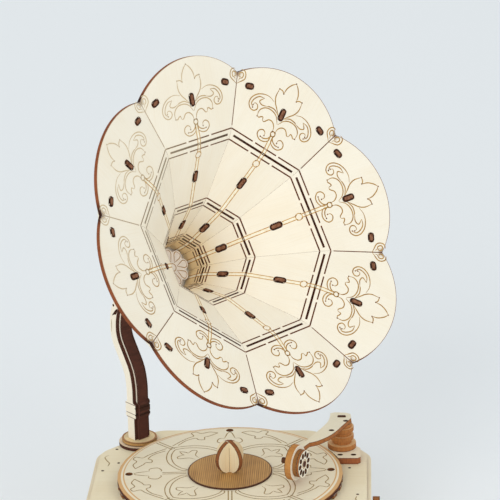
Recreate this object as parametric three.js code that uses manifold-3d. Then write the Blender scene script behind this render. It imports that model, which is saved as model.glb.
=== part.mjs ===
// A disc music box in the form of a small horn gramophone, cut from plywood sheet.
// A crank on the right turns the disc through a peg wheel and the pinned drum through a worm.
// The horn has eight leaves, each one strip of plywood folded along rows of slits,
// and each leaf hangs on a rib whose tenons come through it.
// Millimetres, +Z up. The origin is the centre of the underside, below the disc's spindle.
import * as THREE from 'three';
import { mergeVertices } from 'three/addons/utils/BufferGeometryUtils.js';
import Module from 'manifold-3d';

const wasm = await Module();
wasm.setup();

// Sheets and fits
const SHEET = 2;
const RIB_SHEET = 2.7;
const FLOOR_SHEET = 3;
const DISC_SHEET = 1.7;
const GLUE_LINE = 0.05;
const JOINT_CLEARANCE = 0.3;
const PRESS_GAP = 0.05;
const RUNNING_CLEARANCE = 0.3;
const OVERRUN = 1;

// Case
const BASE_HEIGHT = 52;
const TOP_HALF_WIDTH = 77.2;
const TOP_HALF_DEPTH = 69.5;
const CORNER_CUT = 31;
const CORNER_RADIUS = 14;
const MOULDING_OUT = 2.4;
const WALL_INSET = 2.2;
const WALL_TAB = 2.6;
const SIDE_TAB_SPREAD = 15.3;
const CORNER_TAB_SPREAD = 13.4;
const BORE_SIDES = 16;
const ROD_SIDES = 12;

// Disc and its spindle
const DISC_RADIUS = 60;
const PLATTER_RADIUS = 63.6;
const PLATTER_LIFT = 0.55;
const DISC_TURN = THREE.MathUtils.degToRad(3.1);
const DISC_BEVEL = 0.9;
const PLATTER_NOTCHES = 36;
const NOTCH_DEPTH = 1.8;
const PEG_HOLE_CIRCLE = 57;
const PEG_HOLE_RADIUS = 2.2;
const PEG_SINK = 0.8;
const LABEL_RADIUS = 23.9;
const LABEL_SHEET = 0.9;
const SPINDLE_RADIUS = 2.5;
const FINIAL_HALF_WIDTH = 9.4;
const FINIAL_HEIGHT = 18.4;
const FINIAL_FOOT_SHARE = 0.42;
const FINIAL_BULGE_SHARE = 1.25;
const FINIAL_BELLY_SHARES = [0.2, 0.85];
const RIM_TIP_SHARE = 0.42;
const RIM_ROOT_SHARE = 0.55;
const DISC_SEGMENTS = 22;

// Peg wheel and crank
const SHAFT_DROP = 18.3;
const SHAFT_RADIUS = 2;
const PEG_COUNT = 24;
const PEG_CIRCLE = 22;
const PEG_RADIUS = 1;
const PEG_WHEEL_MARGIN = 3;
const PEG_HUB_RADIUS = 7;
const PEG_WINDOWS = 5;
const PEG_WINDOW_RADIUS = 3.6;
const PEG_SIDES = 5;
const FOOTSTEP_HEIGHT = 4;
const PINION_TEETH = 12;
const PINION_ADDENDUM = 1.8;
const PEG_ADDENDUM = 1;
const PINION_DEDENDUM = 2.4;
const PINION_TIP_GAP = 0.6;
const PINION_TIP_SHARE = 0.2;
const PINION_ROOT_SHARE = 0.6;
const HANGER_X = 11;
const HANGER_WIDTH = 12;
const HANGER_FLANGE = 8;
const ARM_X = 80.4;
const KNOB_TABLE_GAP = 5.7;
const CRANK_HUB_RADIUS = 8;
const CRANK_TIP_RADIUS = 5.6;
const KNOB_LENGTH = 14;
const KNOB_RADIUS = 6;
const KNOB_PIN_RADIUS = 1.5;
const KNOB_PROFILE_SHARES = [[0, 0.62], [0.1, 0.85], [0.3, 1], [0.62, 1], [0.86, 0.9], [1, 0.68]];

// Music movement
const DRUM_X = 51;
const DRUM_RADIUS = 6.2;
const DRUM_LENGTH = 19;
const DRUM_PIN_HEIGHT = 0.7;
const WHEEL_TEETH = 24;
const WHEEL_PITCH_RADIUS = 7;
const WHEEL_SHEET = 3;
const WHEEL_DEDENDUM = 0.9;
const WHEEL_TIP_SHARE = 0.22;
const WHEEL_ROOT_SHARE = 0.62;
const WORM_PITCH_RADIUS = 3.4;
const WORM_ADDENDUM = 0.6;
const WORM_DEDENDUM = 0.9;
const WORM_TURNS = 4;
const WORM_STEPS = 10;
const WORM_FLANK_SHARES = [0.55, 0.2];
const ARBOR_RADIUS = 1;
const TRACK_TURN_SHARE = 0.382;
const COMB_TEETH = 18;
const COMB_SHEET = 0.8;
const COMB_GAP = 0.4;
const COMB_LENGTH = 12;
const COMB_HEEL = 5;
const TINE_SHARE = 0.7;
const BED_DROP = 10.4;
const BRIDGE_SHEET = 2;
const LEG_RADIUS = 2;

// Tonearm
const PIVOT_X = 62.8;
const PIVOT_Y = 38.4;
const ARM_REACH = 42.5;
const ARM_TURN = THREE.MathUtils.degToRad(-118.1);
const ARM_HALF_WIDTH = 5.8;
const ARM_TOP = 17;
const ARM_FRONT_SHARES = [[-0.02, 1], [0.16, 1.07], [0.31, 1.14], [0.5, 1.23], [0.67, 1.12],
  [0.85, 0.73], [0.95, 0.25]];
const ARM_BACK_SHARES = [[0.95, -0.26], [0.79, -0.33], [0.5, -0.41], [0.24, -0.6], [0.06, -1.08],
  [-0.02, -1.38]];
const ARM_END_SHARES = [[-0.08, -1.1], [-0.14, -0.03], [-0.125, 0.5]];
const ARM_STEPS = 12;
const ARM_TENON_LENGTH = 4.2;
const ARM_TENON_WIDTH = 2;
const TONGUE_DEPTH = 1.6;
const TONGUE_WIDTH = 2.6;
const BRACKET_HEIGHT = 3.8;
const BRACKET_CLEARANCE = 1.2;
const BRACKET_CORNERS = [[55, 44], [58, 47], [66, 45], [73.5, 36], [73.6, 24], [71.9, 22.3]];
const COLUMN_RADIUS = 8.2;
const COLUMN_FOOT = 3;
const COLUMN_TOP = 13.8;
const COLUMN_SIDES = 20;
const COLUMN_RING_SHARES = [0.68, 0.84, 0.68, 0.84, 0.7];
const SOUNDBOX_RADIUS = 10;
const SOUNDBOX_REACH = 57.6;
const SOUNDBOX_ASIDE = 1.7;
const SOUNDBOX_TURN = THREE.MathUtils.degToRad(4.9);
const SOUNDBOX_LIFT = 12.1;
const SOUNDBOX_RING = 3.8;
const SOUNDBOX_COLLAR = 2.3;
const SOUNDBOX_COLLAR_RADIUS = 7.8;
const SOUNDBOX_STUB = 5.7;
const SOUNDBOX_AXLE_RADIUS = 1.7;
const SOUNDBOX_WALL = 1.3;
const SOUNDBOX_SIDES = 28;
const GRILLE_SHEET = 1.5;
const GRILLE_HOLES = 10;
const GRILLE_HOLE_RADIUS = 1.05;

// Post, on the back left corner
const FOOT_X = -55.87;
const FOOT_Y = 51.57;
const DOWEL_RADIUS = 2;
const FOOT_RADIUS = 12;
const SWIVEL_RADIUS = 10.2;
const POST_TURN = THREE.MathUtils.degToRad(-45);
const POST_CORE = 7;
const POST_WIDTH = 7.6;
const CHEEK_SETBACK = 1.7;
const POST_LINE = [[0.5, 24], [0.4, 32], [-1.5, 41], [-6.5, 50], [-11, 58], [-12.3, 66],
  [-10.5, 76], [-5, 86], [4, 95]];
const POST_BALUSTER = [[12, 0], [12.8, 1.5], [14.3, 1.5], [14.8, 0.7], [15.3, 1.5],
  [18.6, 1.5], [19.1, 0.7], [19.6, 1.5], [21.3, 1.5], [22.2, 0]];
const POST_STEPS = 26;

// Horn, in eight sectors; radii are to the seams and depths are behind the notches of the rim
const HORN_LEAVES = 8;
const HORN_REACH = 99;
const HORN_HEIGHT = 148.65;
const HORN_TILT = THREE.MathUtils.degToRad(29.1);
const HORN_TURN = THREE.MathUtils.degToRad(1.65);
const PETAL_REACH = 32.6;
const PETAL_RISE = 16;
const RIM_FOLD_RADIUS = 59.7;
const RIM_FOLD_DEPTH = 9.7;
const BELL_FOLD_RADIUS = 28.6;
const BELL_FOLD_DEPTH = 37.7;
const THROAT_FOLD_RADIUS = 14.2;
const THROAT_FOLD_DEPTH = 62.7;
const THROAT_RADIUS = 12.6;
const THROAT_DEPTH = 75;
const FOLD_ROWS = [5, 3, 3];
const FOLD_PITCHES = [2, 2.45, 2.95];
const FOLD_DASHES = [2, 2, 3];
const DASH_GAPS = [2.3, 3.9, 2.2];
const DASH_END = 0.8;
const SLIT_ENDS = [1.2, 1.9, 2.5];
const SLIT_WIDTH = 0.6;
const SEAM_GAP = 0.3;
const PETAL_STEPS = 12;
const TENON_LENGTH = 6.4;
const TENON_PROUD = 0.4;
const PETAL_TENON = 24.6;
const BELL_TENON = 19.75;
const THROAT_TENON = 13.8;
const CLIP_INSET = 6.3;
const CLIP_TENON = 4.6;
const CLIP_TENON_SPREAD = 8.31;
const CLIP_LENGTH = 23;
const CLIP_DEPTH = 5;
const HUB_RADIUS = 21.5;
const HUB_DEPTH = 80;
const HUB_SHEET = 3;
const HUB_TENON = 5;
const RIB_TAIL = [14.5, 19.5];
const RIB_BACK = [[22, 76.7], [24, 55], [48, 30], [86, 7]];
const RIB_END = 32.7;
const ROSETTE_RADIUS = 11;
const ROSETTE_DEPTH = 72.6;
const ROSETTE_LOBES = 8;
const ROSETTE_LOBE_SHARE = 0.8;

// Heights that several pieces share
const PLATTER_TOP = BASE_HEIGHT + PLATTER_LIFT + 3 * DISC_SHEET + 2 * GLUE_LINE;
const SHEETS_TOP = BASE_HEIGHT - 2 * SHEET - GLUE_LINE;
const SHAFT_HEIGHT = BASE_HEIGHT - SHAFT_DROP;
const CRANK_REACH = SHAFT_HEIGHT - KNOB_RADIUS - KNOB_TABLE_GAP;
const NOTCH_RADIUS = RIM_FOLD_RADIUS + PETAL_REACH;
const CLIP_RADIUS = NOTCH_RADIUS - CLIP_INSET;
const SECTOR = 2 * Math.PI / HORN_LEAVES;
const HALF_SECTOR = SECTOR / 2;
const PLANE_ORIGIN = new THREE.Vector2();

const BIRCH = { color: 0xf0e3c8, roughness: 0.72, metalness: 0 };
const BIRCH_SHADE = { color: 0xe6d3ae, roughness: 0.75, metalness: 0 };
const BURNT_EDGE = { color: 0xb9793f, roughness: 0.8, metalness: 0 };
const DARK_EDGE = { color: 0x4a2a18, roughness: 0.8, metalness: 0 };
const LABEL_TAN = { color: 0xa97b47, roughness: 0.75, metalness: 0 };
const STEEL = { color: 0xb8bcc0, roughness: 0.32, metalness: 0.95 };
const BRASS = { color: 0xc9a24d, roughness: 0.3, metalness: 0.95 };

// Solids

function solidOf(geometry) {
  const bare = geometry.clone();
  for (const name of Object.keys(bare.attributes)) {
    if (name !== 'position') bare.deleteAttribute(name);
  }
  const merged = mergeVertices(bare);
  const index = merged.index.array;
  const triangles = [];
  for (let i = 0; i < index.length; i += 3) {
    const [a, b, c] = [index[i], index[i + 1], index[i + 2]];
    if (a !== b && b !== c && c !== a) triangles.push(a, b, c);
  }
  return new wasm.Manifold(new wasm.Mesh({
    numProp: 3,
    vertProperties: merged.attributes.position.array,
    triVerts: Uint32Array.from(triangles),
  }));
}

function geometryOf(solid) {
  const mesh = solid.getMesh();
  const geometry = new THREE.BufferGeometry();
  geometry.setAttribute('position', new THREE.BufferAttribute(mesh.vertProperties, 3));
  geometry.setIndex(new THREE.BufferAttribute(mesh.triVerts, 1));
  return geometry;
}

function join(...pieces) {
  return geometryOf(pieces.map(solidOf).reduce((whole, piece) => whole.add(piece)));
}

function cut(body, cutters) {
  return geometryOf(cutters.map(solidOf).reduce((rest, cutter) => rest.subtract(cutter), solidOf(body)));
}

function sheet(shape, thickness, bottom = 0, curveSegments = 8) {
  const settings = { depth: thickness, bevelEnabled: false, curveSegments };
  return new THREE.ExtrudeGeometry(shape, settings).translate(0, 0, bottom);
}

// A sheet that stands upright: its outline lies in X and Z, and its thickness is centred on Y
function uprightSheet(shape, thickness, curveSegments = 8) {
  return sheet(shape, thickness, -thickness / 2, curveSegments).rotateX(Math.PI / 2);
}

function box(width, depth, height, x, y, bottom) {
  return new THREE.BoxGeometry(width, depth, height).translate(x, y, bottom + height / 2);
}

function rod(radius, length, bottom, sides = 24) {
  return new THREE.CylinderGeometry(radius, radius, length, sides)
    .rotateX(Math.PI / 2)
    .translate(0, 0, bottom + length / 2);
}

function ring(outer, inner, thickness, bottom, sides = 36) {
  const hole = rod(inner, thickness + 2 * OVERRUN, bottom - OVERRUN, BORE_SIDES);
  return cut(rod(outer, thickness, bottom, sides), [hole]);
}

function turned(profile, sides = 32) {
  const points = profile.map(([radius, height]) => new THREE.Vector2(radius, height));
  return geometryOf(solidOf(new THREE.LatheGeometry(points, sides))).rotateX(Math.PI / 2);
}

// Skins a row of rings, each listed anticlockwise as seen from the far end
function loft(rings) {
  const count = rings[0].length;
  const positions = rings.flat().flatMap((point) => [point.x, point.y, point.z]);
  const index = [];
  for (let i = 0; i + 1 < rings.length; i += 1) {
    for (let j = 0; j < count; j += 1) {
      const a = i * count + j;
      const b = i * count + (j + 1) % count;
      index.push(a, b, b + count, a, b + count, a + count);
    }
  }
  const last = (rings.length - 1) * count;
  for (let j = 1; j + 1 < count; j += 1) {
    index.push(0, j + 1, j, last, last + j, last + j + 1);
  }
  const geometry = new THREE.BufferGeometry();
  geometry.setAttribute('position', new THREE.Float32BufferAttribute(positions, 3));
  geometry.setIndex(index);
  return geometry;
}

// Rounds each corner of a polygon with an arc
function rounded(corners, radius, steps = 5) {
  const points = [];
  corners.forEach((corner, i) => {
    const before = corners[(i + corners.length - 1) % corners.length].clone().sub(corner).normalize();
    const after = corners[(i + 1) % corners.length].clone().sub(corner).normalize();
    const halfAngle = Math.acos(before.dot(after)) / 2;
    const middle = before.clone().add(after).normalize();
    const centre = corner.clone().addScaledVector(middle, radius / Math.sin(halfAngle));
    const reach = radius / Math.tan(halfAngle);
    const start = corner.clone().addScaledVector(before, reach).sub(centre);
    const turn = Math.sign(before.x * after.y - before.y * after.x) * (2 * halfAngle - Math.PI);
    for (let k = 0; k <= steps; k += 1) {
      points.push(start.clone().rotateAround(PLANE_ORIGIN, turn * k / steps).add(centre));
    }
  });
  return points;
}

function circlePath(radius, x = 0, y = 0) {
  return new THREE.Path().absarc(x, y, radius, 0, 2 * Math.PI, true);
}

function circleShape(radius) {
  return new THREE.Shape().absarc(0, 0, radius, 0, 2 * Math.PI, false);
}

// A pair of teeth sides repeated round a wheel; the shares place tip and root corners in the pitch angle
function toothedOutline(teeth, rootRadius, tipRadius, tipShare, rootShare, turn = 0) {
  const points = [];
  for (let i = 0; i < teeth; i += 1) {
    const middle = turn + 2 * Math.PI * i / teeth;
    const pitch = 2 * Math.PI / teeth;
    for (const [radius, share] of [[rootRadius, -rootShare], [tipRadius, -tipShare],
      [tipRadius, tipShare], [rootRadius, rootShare]]) {
      const angle = middle + share * pitch / 2;
      points.push(new THREE.Vector2(radius * Math.cos(angle), radius * Math.sin(angle)));
    }
  }
  return points;
}

function part(name, geometry, look) {
  const mesh = new THREE.Mesh(geometry, new THREE.MeshStandardMaterial(look));
  mesh.name = name;
  return mesh;
}

// Case

function caseCorners(offset) {
  const x = TOP_HALF_WIDTH + offset;
  const y = TOP_HALF_DEPTH + offset;
  const corner = CORNER_CUT + offset * (2 - Math.SQRT2);
  return [
    [x, corner - y], [x, y - corner], [x - corner, y], [corner - x, y],
    [-x, y - corner], [-x, corner - y], [corner - x, -y], [x - corner, -y],
  ].map(([cornerX, cornerY]) => new THREE.Vector2(cornerX, cornerY));
}

function caseOutline(offset) {
  return new THREE.Shape(rounded(caseCorners(offset), CORNER_RADIUS + offset));
}

const WALL_NAMES = ['wall_right', 'corner_panel_1', 'wall_back', 'corner_panel_2',
  'wall_left', 'corner_panel_3', 'wall_front', 'corner_panel_4'];

// Middle line of each wall: a midpoint, a direction and where its tabs stand
function wallLines() {
  const corners = caseCorners(-WALL_INSET - SHEET / 2);
  return corners.map((start, i) => {
    const end = corners[(i + 1) % corners.length];
    const along = end.clone().sub(start).normalize();
    const middle = start.clone().add(end).divideScalar(2);
    const spread = i % 2 ? CORNER_TAB_SPREAD : SIDE_TAB_SPREAD;
    const tabs = [-spread, spread].map((step) => middle.clone().addScaledVector(along, step));
    return { along, middle, tabs };
  });
}

function wallTabs(line, clearance, bottom, height) {
  const turn = new THREE.Matrix4().makeRotationZ(Math.atan2(line.along.y, line.along.x));
  const length = WALL_TAB + 2 * clearance;
  const width = SHEET + 2 * clearance;
  return line.tabs.map((tab) => new THREE.BoxGeometry(length, width, height)
    .applyMatrix4(turn)
    .translate(tab.x, tab.y, bottom + height / 2));
}

function wallSlots(bottom, height) {
  return wallLines().flatMap((line) => wallTabs(line, JOINT_CLEARANCE, bottom, height));
}

function wallPanel(i) {
  const outer = caseCorners(-WALL_INSET);
  const inner = caseCorners(-WALL_INSET - SHEET);
  const next = (i + 1) % outer.length;
  const line = wallLines()[i];
  const mitre = SEAM_GAP / 2;
  const outline = [
    outer[i].clone().addScaledVector(line.along, mitre),
    outer[next].clone().addScaledVector(line.along, -mitre),
    inner[next].clone().addScaledVector(line.along, -mitre),
    inner[i].clone().addScaledVector(line.along, mitre),
  ];
  const bottom = FLOOR_SHEET + GLUE_LINE;
  const panel = sheet(new THREE.Shape(outline), SHEETS_TOP - bottom, bottom);
  const topTabs = wallTabs(line, 0, SHEETS_TOP - OVERRUN, SHEET + OVERRUN);
  const footTabs = wallTabs(line, 0, FLOOR_SHEET / 2, FLOOR_SHEET);
  return join(panel, ...topTabs, ...footTabs);
}

function rightWall() {
  const start = TOP_HALF_WIDTH - WALL_INSET - 3 * SHEET / 2;
  const hole = alongX(rod(SHAFT_RADIUS + SHEET + JOINT_CLEARANCE, 2 * SHEET, 0), start, SHAFT_HEIGHT);
  return cut(wallPanel(0), [hole]);
}

function baseFloor() {
  const slots = wallSlots(FLOOR_SHEET / 2 - JOINT_CLEARANCE, FLOOR_SHEET);
  return cut(sheet(caseOutline(MOULDING_OUT), FLOOR_SHEET), slots);
}

// The two sheets of the lid: a wider moulding, which takes the walls' tabs, and the top plate on it
function lidSheet(offset, bottom, slots) {
  const outline = caseOutline(offset);
  const plate = sheet(outline, SHEET, bottom);
  const depth = SHEET + 2 * OVERRUN;
  const bore = (radius, x, y) => rod(radius, depth, bottom - OVERRUN, BORE_SIDES).translate(x, y, 0);
  return cut(plate, [
    ...slots,
    bore(SPINDLE_RADIUS + RUNNING_CLEARANCE, 0, 0),
    bore(DOWEL_RADIUS + RUNNING_CLEARANCE, FOOT_X, FOOT_Y),
    bore(DOWEL_RADIUS + RUNNING_CLEARANCE, PIVOT_X, PIVOT_Y),
  ]);
}

function casework() {
  const group = new THREE.Group();
  group.add(part('base_floor', baseFloor(), BIRCH_SHADE));
  WALL_NAMES.forEach((name, i) => {
    group.add(part(name, i === 0 ? rightWall() : wallPanel(i), BIRCH));
  });
  const slots = wallSlots(SHEETS_TOP - OVERRUN, SHEET + 2 * OVERRUN);
  group.add(part('top_moulding', lidSheet(MOULDING_OUT, BASE_HEIGHT - 2 * SHEET, slots), BIRCH_SHADE));
  group.add(part('base_top', lidSheet(0, BASE_HEIGHT - SHEET + GLUE_LINE, []), BIRCH));
  return group;
}

// Disc and spindle

const RIM_BOTTOM = BASE_HEIGHT + PLATTER_LIFT;
const RING_BOTTOM = RIM_BOTTOM + DISC_SHEET + GLUE_LINE;
const DISC_BOTTOM = RING_BOTTOM + DISC_SHEET + GLUE_LINE;
const LABEL_BOTTOM = PLATTER_TOP + GLUE_LINE;
const LABEL_TOP = LABEL_BOTTOM + LABEL_SHEET;
const SPINDLE_BORE = SPINDLE_RADIUS + 2 * PRESS_GAP;

function pegHolePlaces() {
  return [0, 1, 2, 3].map((quarter) => {
    const angle = DISC_TURN + quarter * Math.PI / 2;
    return [PEG_HOLE_CIRCLE * Math.cos(angle), PEG_HOLE_CIRCLE * Math.sin(angle)];
  });
}

function bored(disc, thickness, bottom) {
  return cut(disc, [rod(SPINDLE_BORE, thickness + 2 * OVERRUN, bottom - OVERRUN, BORE_SIDES)]);
}

function discSheet(radius, thickness, bottom) {
  return bored(sheet(circleShape(radius), thickness, bottom, DISC_SEGMENTS), thickness, bottom);
}

// The disc's face ends in a bevel that slopes down to the platter's edge
function platterDisc() {
  const top = DISC_BOTTOM + DISC_SHEET;
  const disc = turned([[0, DISC_BOTTOM], [PLATTER_RADIUS, DISC_BOTTOM], [PLATTER_RADIUS, top - DISC_BEVEL],
    [DISC_RADIUS, top], [0, top]], 2 * DISC_SEGMENTS);
  const holes = pegHolePlaces().map(([x, y]) =>
    rod(PEG_HOLE_RADIUS, DISC_SHEET + 2 * OVERRUN, DISC_BOTTOM - OVERRUN, ROD_SIDES).translate(x, y, 0));
  return bored(cut(disc, holes), DISC_SHEET, DISC_BOTTOM);
}

// The middle sheet carries the four round pegs that register the disc
function platterRing() {
  const height = PLATTER_TOP - RING_BOTTOM - PEG_SINK;
  const pegs = pegHolePlaces().map(([x, y]) =>
    rod(PEG_HOLE_RADIUS - JOINT_CLEARANCE, height, RING_BOTTOM, ROD_SIDES).translate(x, y, 0));
  return join(discSheet(PLATTER_RADIUS, DISC_SHEET, RING_BOTTOM), ...pegs);
}

function platterRim() {
  const outline = toothedOutline(PLATTER_NOTCHES, PLATTER_RADIUS - NOTCH_DEPTH, PLATTER_RADIUS,
    RIM_TIP_SHARE, RIM_ROOT_SHARE);
  return bored(sheet(new THREE.Shape(outline), DISC_SHEET, RIM_BOTTOM), DISC_SHEET, RIM_BOTTOM);
}

// One egg-shaped blade; the two are halved into each other where they cross
function finialBlade(slotFromTop) {
  const foot = FINIAL_HALF_WIDTH * FINIAL_FOOT_SHARE;
  const shape = new THREE.Shape();
  const [belly, shoulder] = FINIAL_BELLY_SHARES;
  const bulge = FINIAL_HALF_WIDTH * FINIAL_BULGE_SHARE;
  shape.moveTo(-foot, 0);
  shape.lineTo(foot, 0);
  shape.bezierCurveTo(bulge, FINIAL_HEIGHT * belly, bulge, FINIAL_HEIGHT * shoulder, 0, FINIAL_HEIGHT);
  shape.bezierCurveTo(-bulge, FINIAL_HEIGHT * shoulder, -bulge, FINIAL_HEIGHT * belly, -foot, 0);
  const slotWidth = RIB_SHEET + 2 * PRESS_GAP;
  const slotHeight = FINIAL_HEIGHT / 2 + OVERRUN;
  const slotBottom = slotFromTop ? FINIAL_HEIGHT / 2 : PRESS_GAP - OVERRUN;
  const slot = box(slotWidth, slotWidth, slotHeight, 0, 0, slotBottom);
  return cut(uprightSheet(shape, RIB_SHEET, 10), [slot]);
}

function platter() {
  const group = new THREE.Group();
  const spindleBottom = FLOOR_SHEET + RUNNING_CLEARANCE;
  const spindle = rod(SPINDLE_RADIUS, LABEL_TOP - spindleBottom, spindleBottom);
  group.add(part('platter_spindle', spindle, STEEL));
  group.add(part('peg_wheel', pegWheel(), BIRCH_SHADE));
  group.add(part('platter_rim', platterRim(), BURNT_EDGE));
  group.add(part('platter_ring', platterRing(), BURNT_EDGE));
  group.add(part('platter_disc', platterDisc(), BIRCH));
  group.add(part('label_disc', discSheet(LABEL_RADIUS, LABEL_SHEET, LABEL_BOTTOM), LABEL_TAN));
  ['finial_blade_1', 'finial_blade_2'].forEach((name, i) => {
    const blade = part(name, finialBlade(i === 0), BIRCH);
    blade.position.z = LABEL_TOP + GLUE_LINE;
    blade.rotation.z = Math.PI / 4 + i * Math.PI / 2;
    group.add(blade);
  });
  return group;
}

// Drive: the crank's toothed wheel turns between upright pegs on the spindle's wheel

const PINION_PITCH_RADIUS = PEG_CIRCLE * PINION_TEETH / PEG_COUNT;
const PEG_PITCH_HEIGHT = SHAFT_HEIGHT - PINION_PITCH_RADIUS;
const PEG_WHEEL_TOP = PEG_PITCH_HEIGHT - PINION_ADDENDUM - PINION_TIP_GAP;

function pegWheel() {
  const bottom = PEG_WHEEL_TOP - RIB_SHEET;
  const shape = circleShape(PEG_CIRCLE + PEG_WHEEL_MARGIN);
  const windowCircle = (PEG_CIRCLE + PEG_HUB_RADIUS) / 2 - PEG_RADIUS;
  for (let i = 0; i < PEG_WINDOWS; i += 1) {
    const angle = 2 * Math.PI * (i + 1 / 2) / PEG_WINDOWS;
    shape.holes.push(circlePath(PEG_WINDOW_RADIUS, windowCircle * Math.cos(angle),
      windowCircle * Math.sin(angle)));
  }
  const pegHeight = PEG_PITCH_HEIGHT + PEG_ADDENDUM - bottom;
  const pegs = Array.from({ length: PEG_COUNT }, (_, i) => {
    const angle = 2 * Math.PI * i / PEG_COUNT;
    return rod(PEG_RADIUS, pegHeight, bottom, PEG_SIDES)
      .translate(PEG_CIRCLE * Math.cos(angle), PEG_CIRCLE * Math.sin(angle), 0);
  });
  const hubBottom = FLOOR_SHEET + GLUE_LINE + FOOTSTEP_HEIGHT + RUNNING_CLEARANCE;
  const hubHeight = PEG_WHEEL_TOP + RIB_SHEET - hubBottom;
  const hub = rod(PEG_HUB_RADIUS, hubHeight, hubBottom, BORE_SIDES);
  const body = join(sheet(shape, RIB_SHEET, bottom, 6), hub, ...pegs);
  return cut(body, [rod(SPINDLE_BORE, hubHeight + 2 * OVERRUN, hubBottom - OVERRUN, BORE_SIDES)]);
}

// A sheet that stands across X: its outline lies in Y and Z, and it is thickness deep from x
function acrossSheet(shape, thickness, x, curveSegments = 8) {
  const across = new THREE.Matrix4().makeBasis(
    new THREE.Vector3(0, 1, 0), new THREE.Vector3(0, 0, 1), new THREE.Vector3(1, 0, 0));
  return sheet(shape, thickness, x, curveSegments).applyMatrix4(across);
}

function alongX(geometry, x, z) {
  return geometry.rotateY(Math.PI / 2).translate(x, 0, z);
}

function crankPinion() {
  const outline = toothedOutline(PINION_TEETH, PINION_PITCH_RADIUS - PINION_DEDENDUM,
    PINION_PITCH_RADIUS + PINION_ADDENDUM, PINION_TIP_SHARE, PINION_ROOT_SHARE, Math.PI / PINION_TEETH);
  const shape = new THREE.Shape(outline);
  shape.holes.push(circlePath(SHAFT_RADIUS + PRESS_GAP));
  return alongX(sheet(shape, RIB_SHEET, -RIB_SHEET / 2), PEG_CIRCLE, SHAFT_HEIGHT);
}

// A hanger plate under the lid holds the inner end of the shaft
function shaftHanger() {
  const half = HANGER_WIDTH / 2;
  const top = SHEETS_TOP - SHAFT_HEIGHT;
  const shape = new THREE.Shape();
  shape.moveTo(half, 0);
  shape.lineTo(half, top);
  shape.lineTo(-half, top);
  shape.lineTo(-half, 0);
  shape.absarc(0, 0, half, Math.PI, 2 * Math.PI, false);
  shape.holes.push(circlePath(SHAFT_RADIUS + RUNNING_CLEARANCE));
  const plate = acrossSheet(shape, RIB_SHEET, HANGER_X).translate(0, 0, SHAFT_HEIGHT);
  const flange = box(HANGER_FLANGE, 2 * HANGER_WIDTH, SHEET, HANGER_X + RIB_SHEET / 2, 0, SHEETS_TOP - SHEET);
  return join(plate, flange);
}

// The bush is a flanged ring let into the right wall
function shaftBush() {
  const outside = TOP_HALF_WIDTH - WALL_INSET;
  const bore = SHAFT_RADIUS + RUNNING_CLEARANCE;
  const neck = SHAFT_RADIUS + SHEET;
  const flange = neck + SHEET;
  return alongX(turned([
    [bore, -SHEET], [neck, -SHEET], [neck, GLUE_LINE], [flange, GLUE_LINE],
    [flange, SHEET], [neck, 2 * SHEET], [bore, 2 * SHEET], [bore, -SHEET],
  ], BORE_SIDES), outside, SHAFT_HEIGHT);
}

const WORM_PITCH = 2 * Math.PI * WHEEL_PITCH_RADIUS / WHEEL_TEETH;

// One unbroken thread, wound from a formula, on the shaft's core
function wormThread() {
  const crest = WORM_PITCH_RADIUS + WORM_ADDENDUM;
  const root = WORM_PITCH_RADIUS - WORM_DEDENDUM;
  const rings = [];
  for (let i = 0; i <= WORM_TURNS * WORM_STEPS; i += 1) {
    const turns = i / WORM_STEPS - WORM_TURNS / 2;
    const middle = turns * WORM_PITCH + WORM_PITCH / 2;
    const angle = 2 * Math.PI * turns;
    const [rootHalf, crestHalf] = WORM_FLANK_SHARES.map((share) => share * WORM_PITCH / 2);
    rings.push([[root, -rootHalf], [root, rootHalf], [crest, crestHalf], [crest, -crestHalf]]
      .map(([radius, step]) => new THREE.Vector3(
        radius * Math.cos(angle), radius * Math.sin(angle), middle + step)));
  }
  return loft(rings);
}

function crankShaft() {
  const start = HANGER_X - SHEET;
  const end = ARM_X + 2 * SHEET;
  const core = rod(WORM_PITCH_RADIUS - WORM_DEDENDUM + PRESS_GAP,
    (WORM_TURNS + 2) * WORM_PITCH, -(WORM_TURNS + 1) * WORM_PITCH / 2, ROD_SIDES);
  const worm = alongX(join(core, wormThread()), DRUM_X, SHAFT_HEIGHT);
  const shaft = alongX(rod(SHAFT_RADIUS, end - start, 0, BORE_SIDES), start, SHAFT_HEIGHT);
  return join(shaft, worm);
}

// The crank arm tapers from its hub to the knob's pin and hangs down at rest
function crankArm() {
  const lean = Math.asin((CRANK_HUB_RADIUS - CRANK_TIP_RADIUS) / CRANK_REACH);
  const shape = new THREE.Shape();
  shape.absarc(0, 0, CRANK_HUB_RADIUS, -lean, Math.PI + lean, false);
  shape.absarc(0, -CRANK_REACH, CRANK_TIP_RADIUS, Math.PI + lean, 2 * Math.PI - lean, false);
  shape.holes.push(circlePath(SHAFT_RADIUS + PRESS_GAP));
  shape.holes.push(circlePath(KNOB_PIN_RADIUS + PRESS_GAP, 0, -CRANK_REACH));
  return acrossSheet(shape, 2 * SHEET, ARM_X, 8).translate(0, 0, SHAFT_HEIGHT);
}

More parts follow.
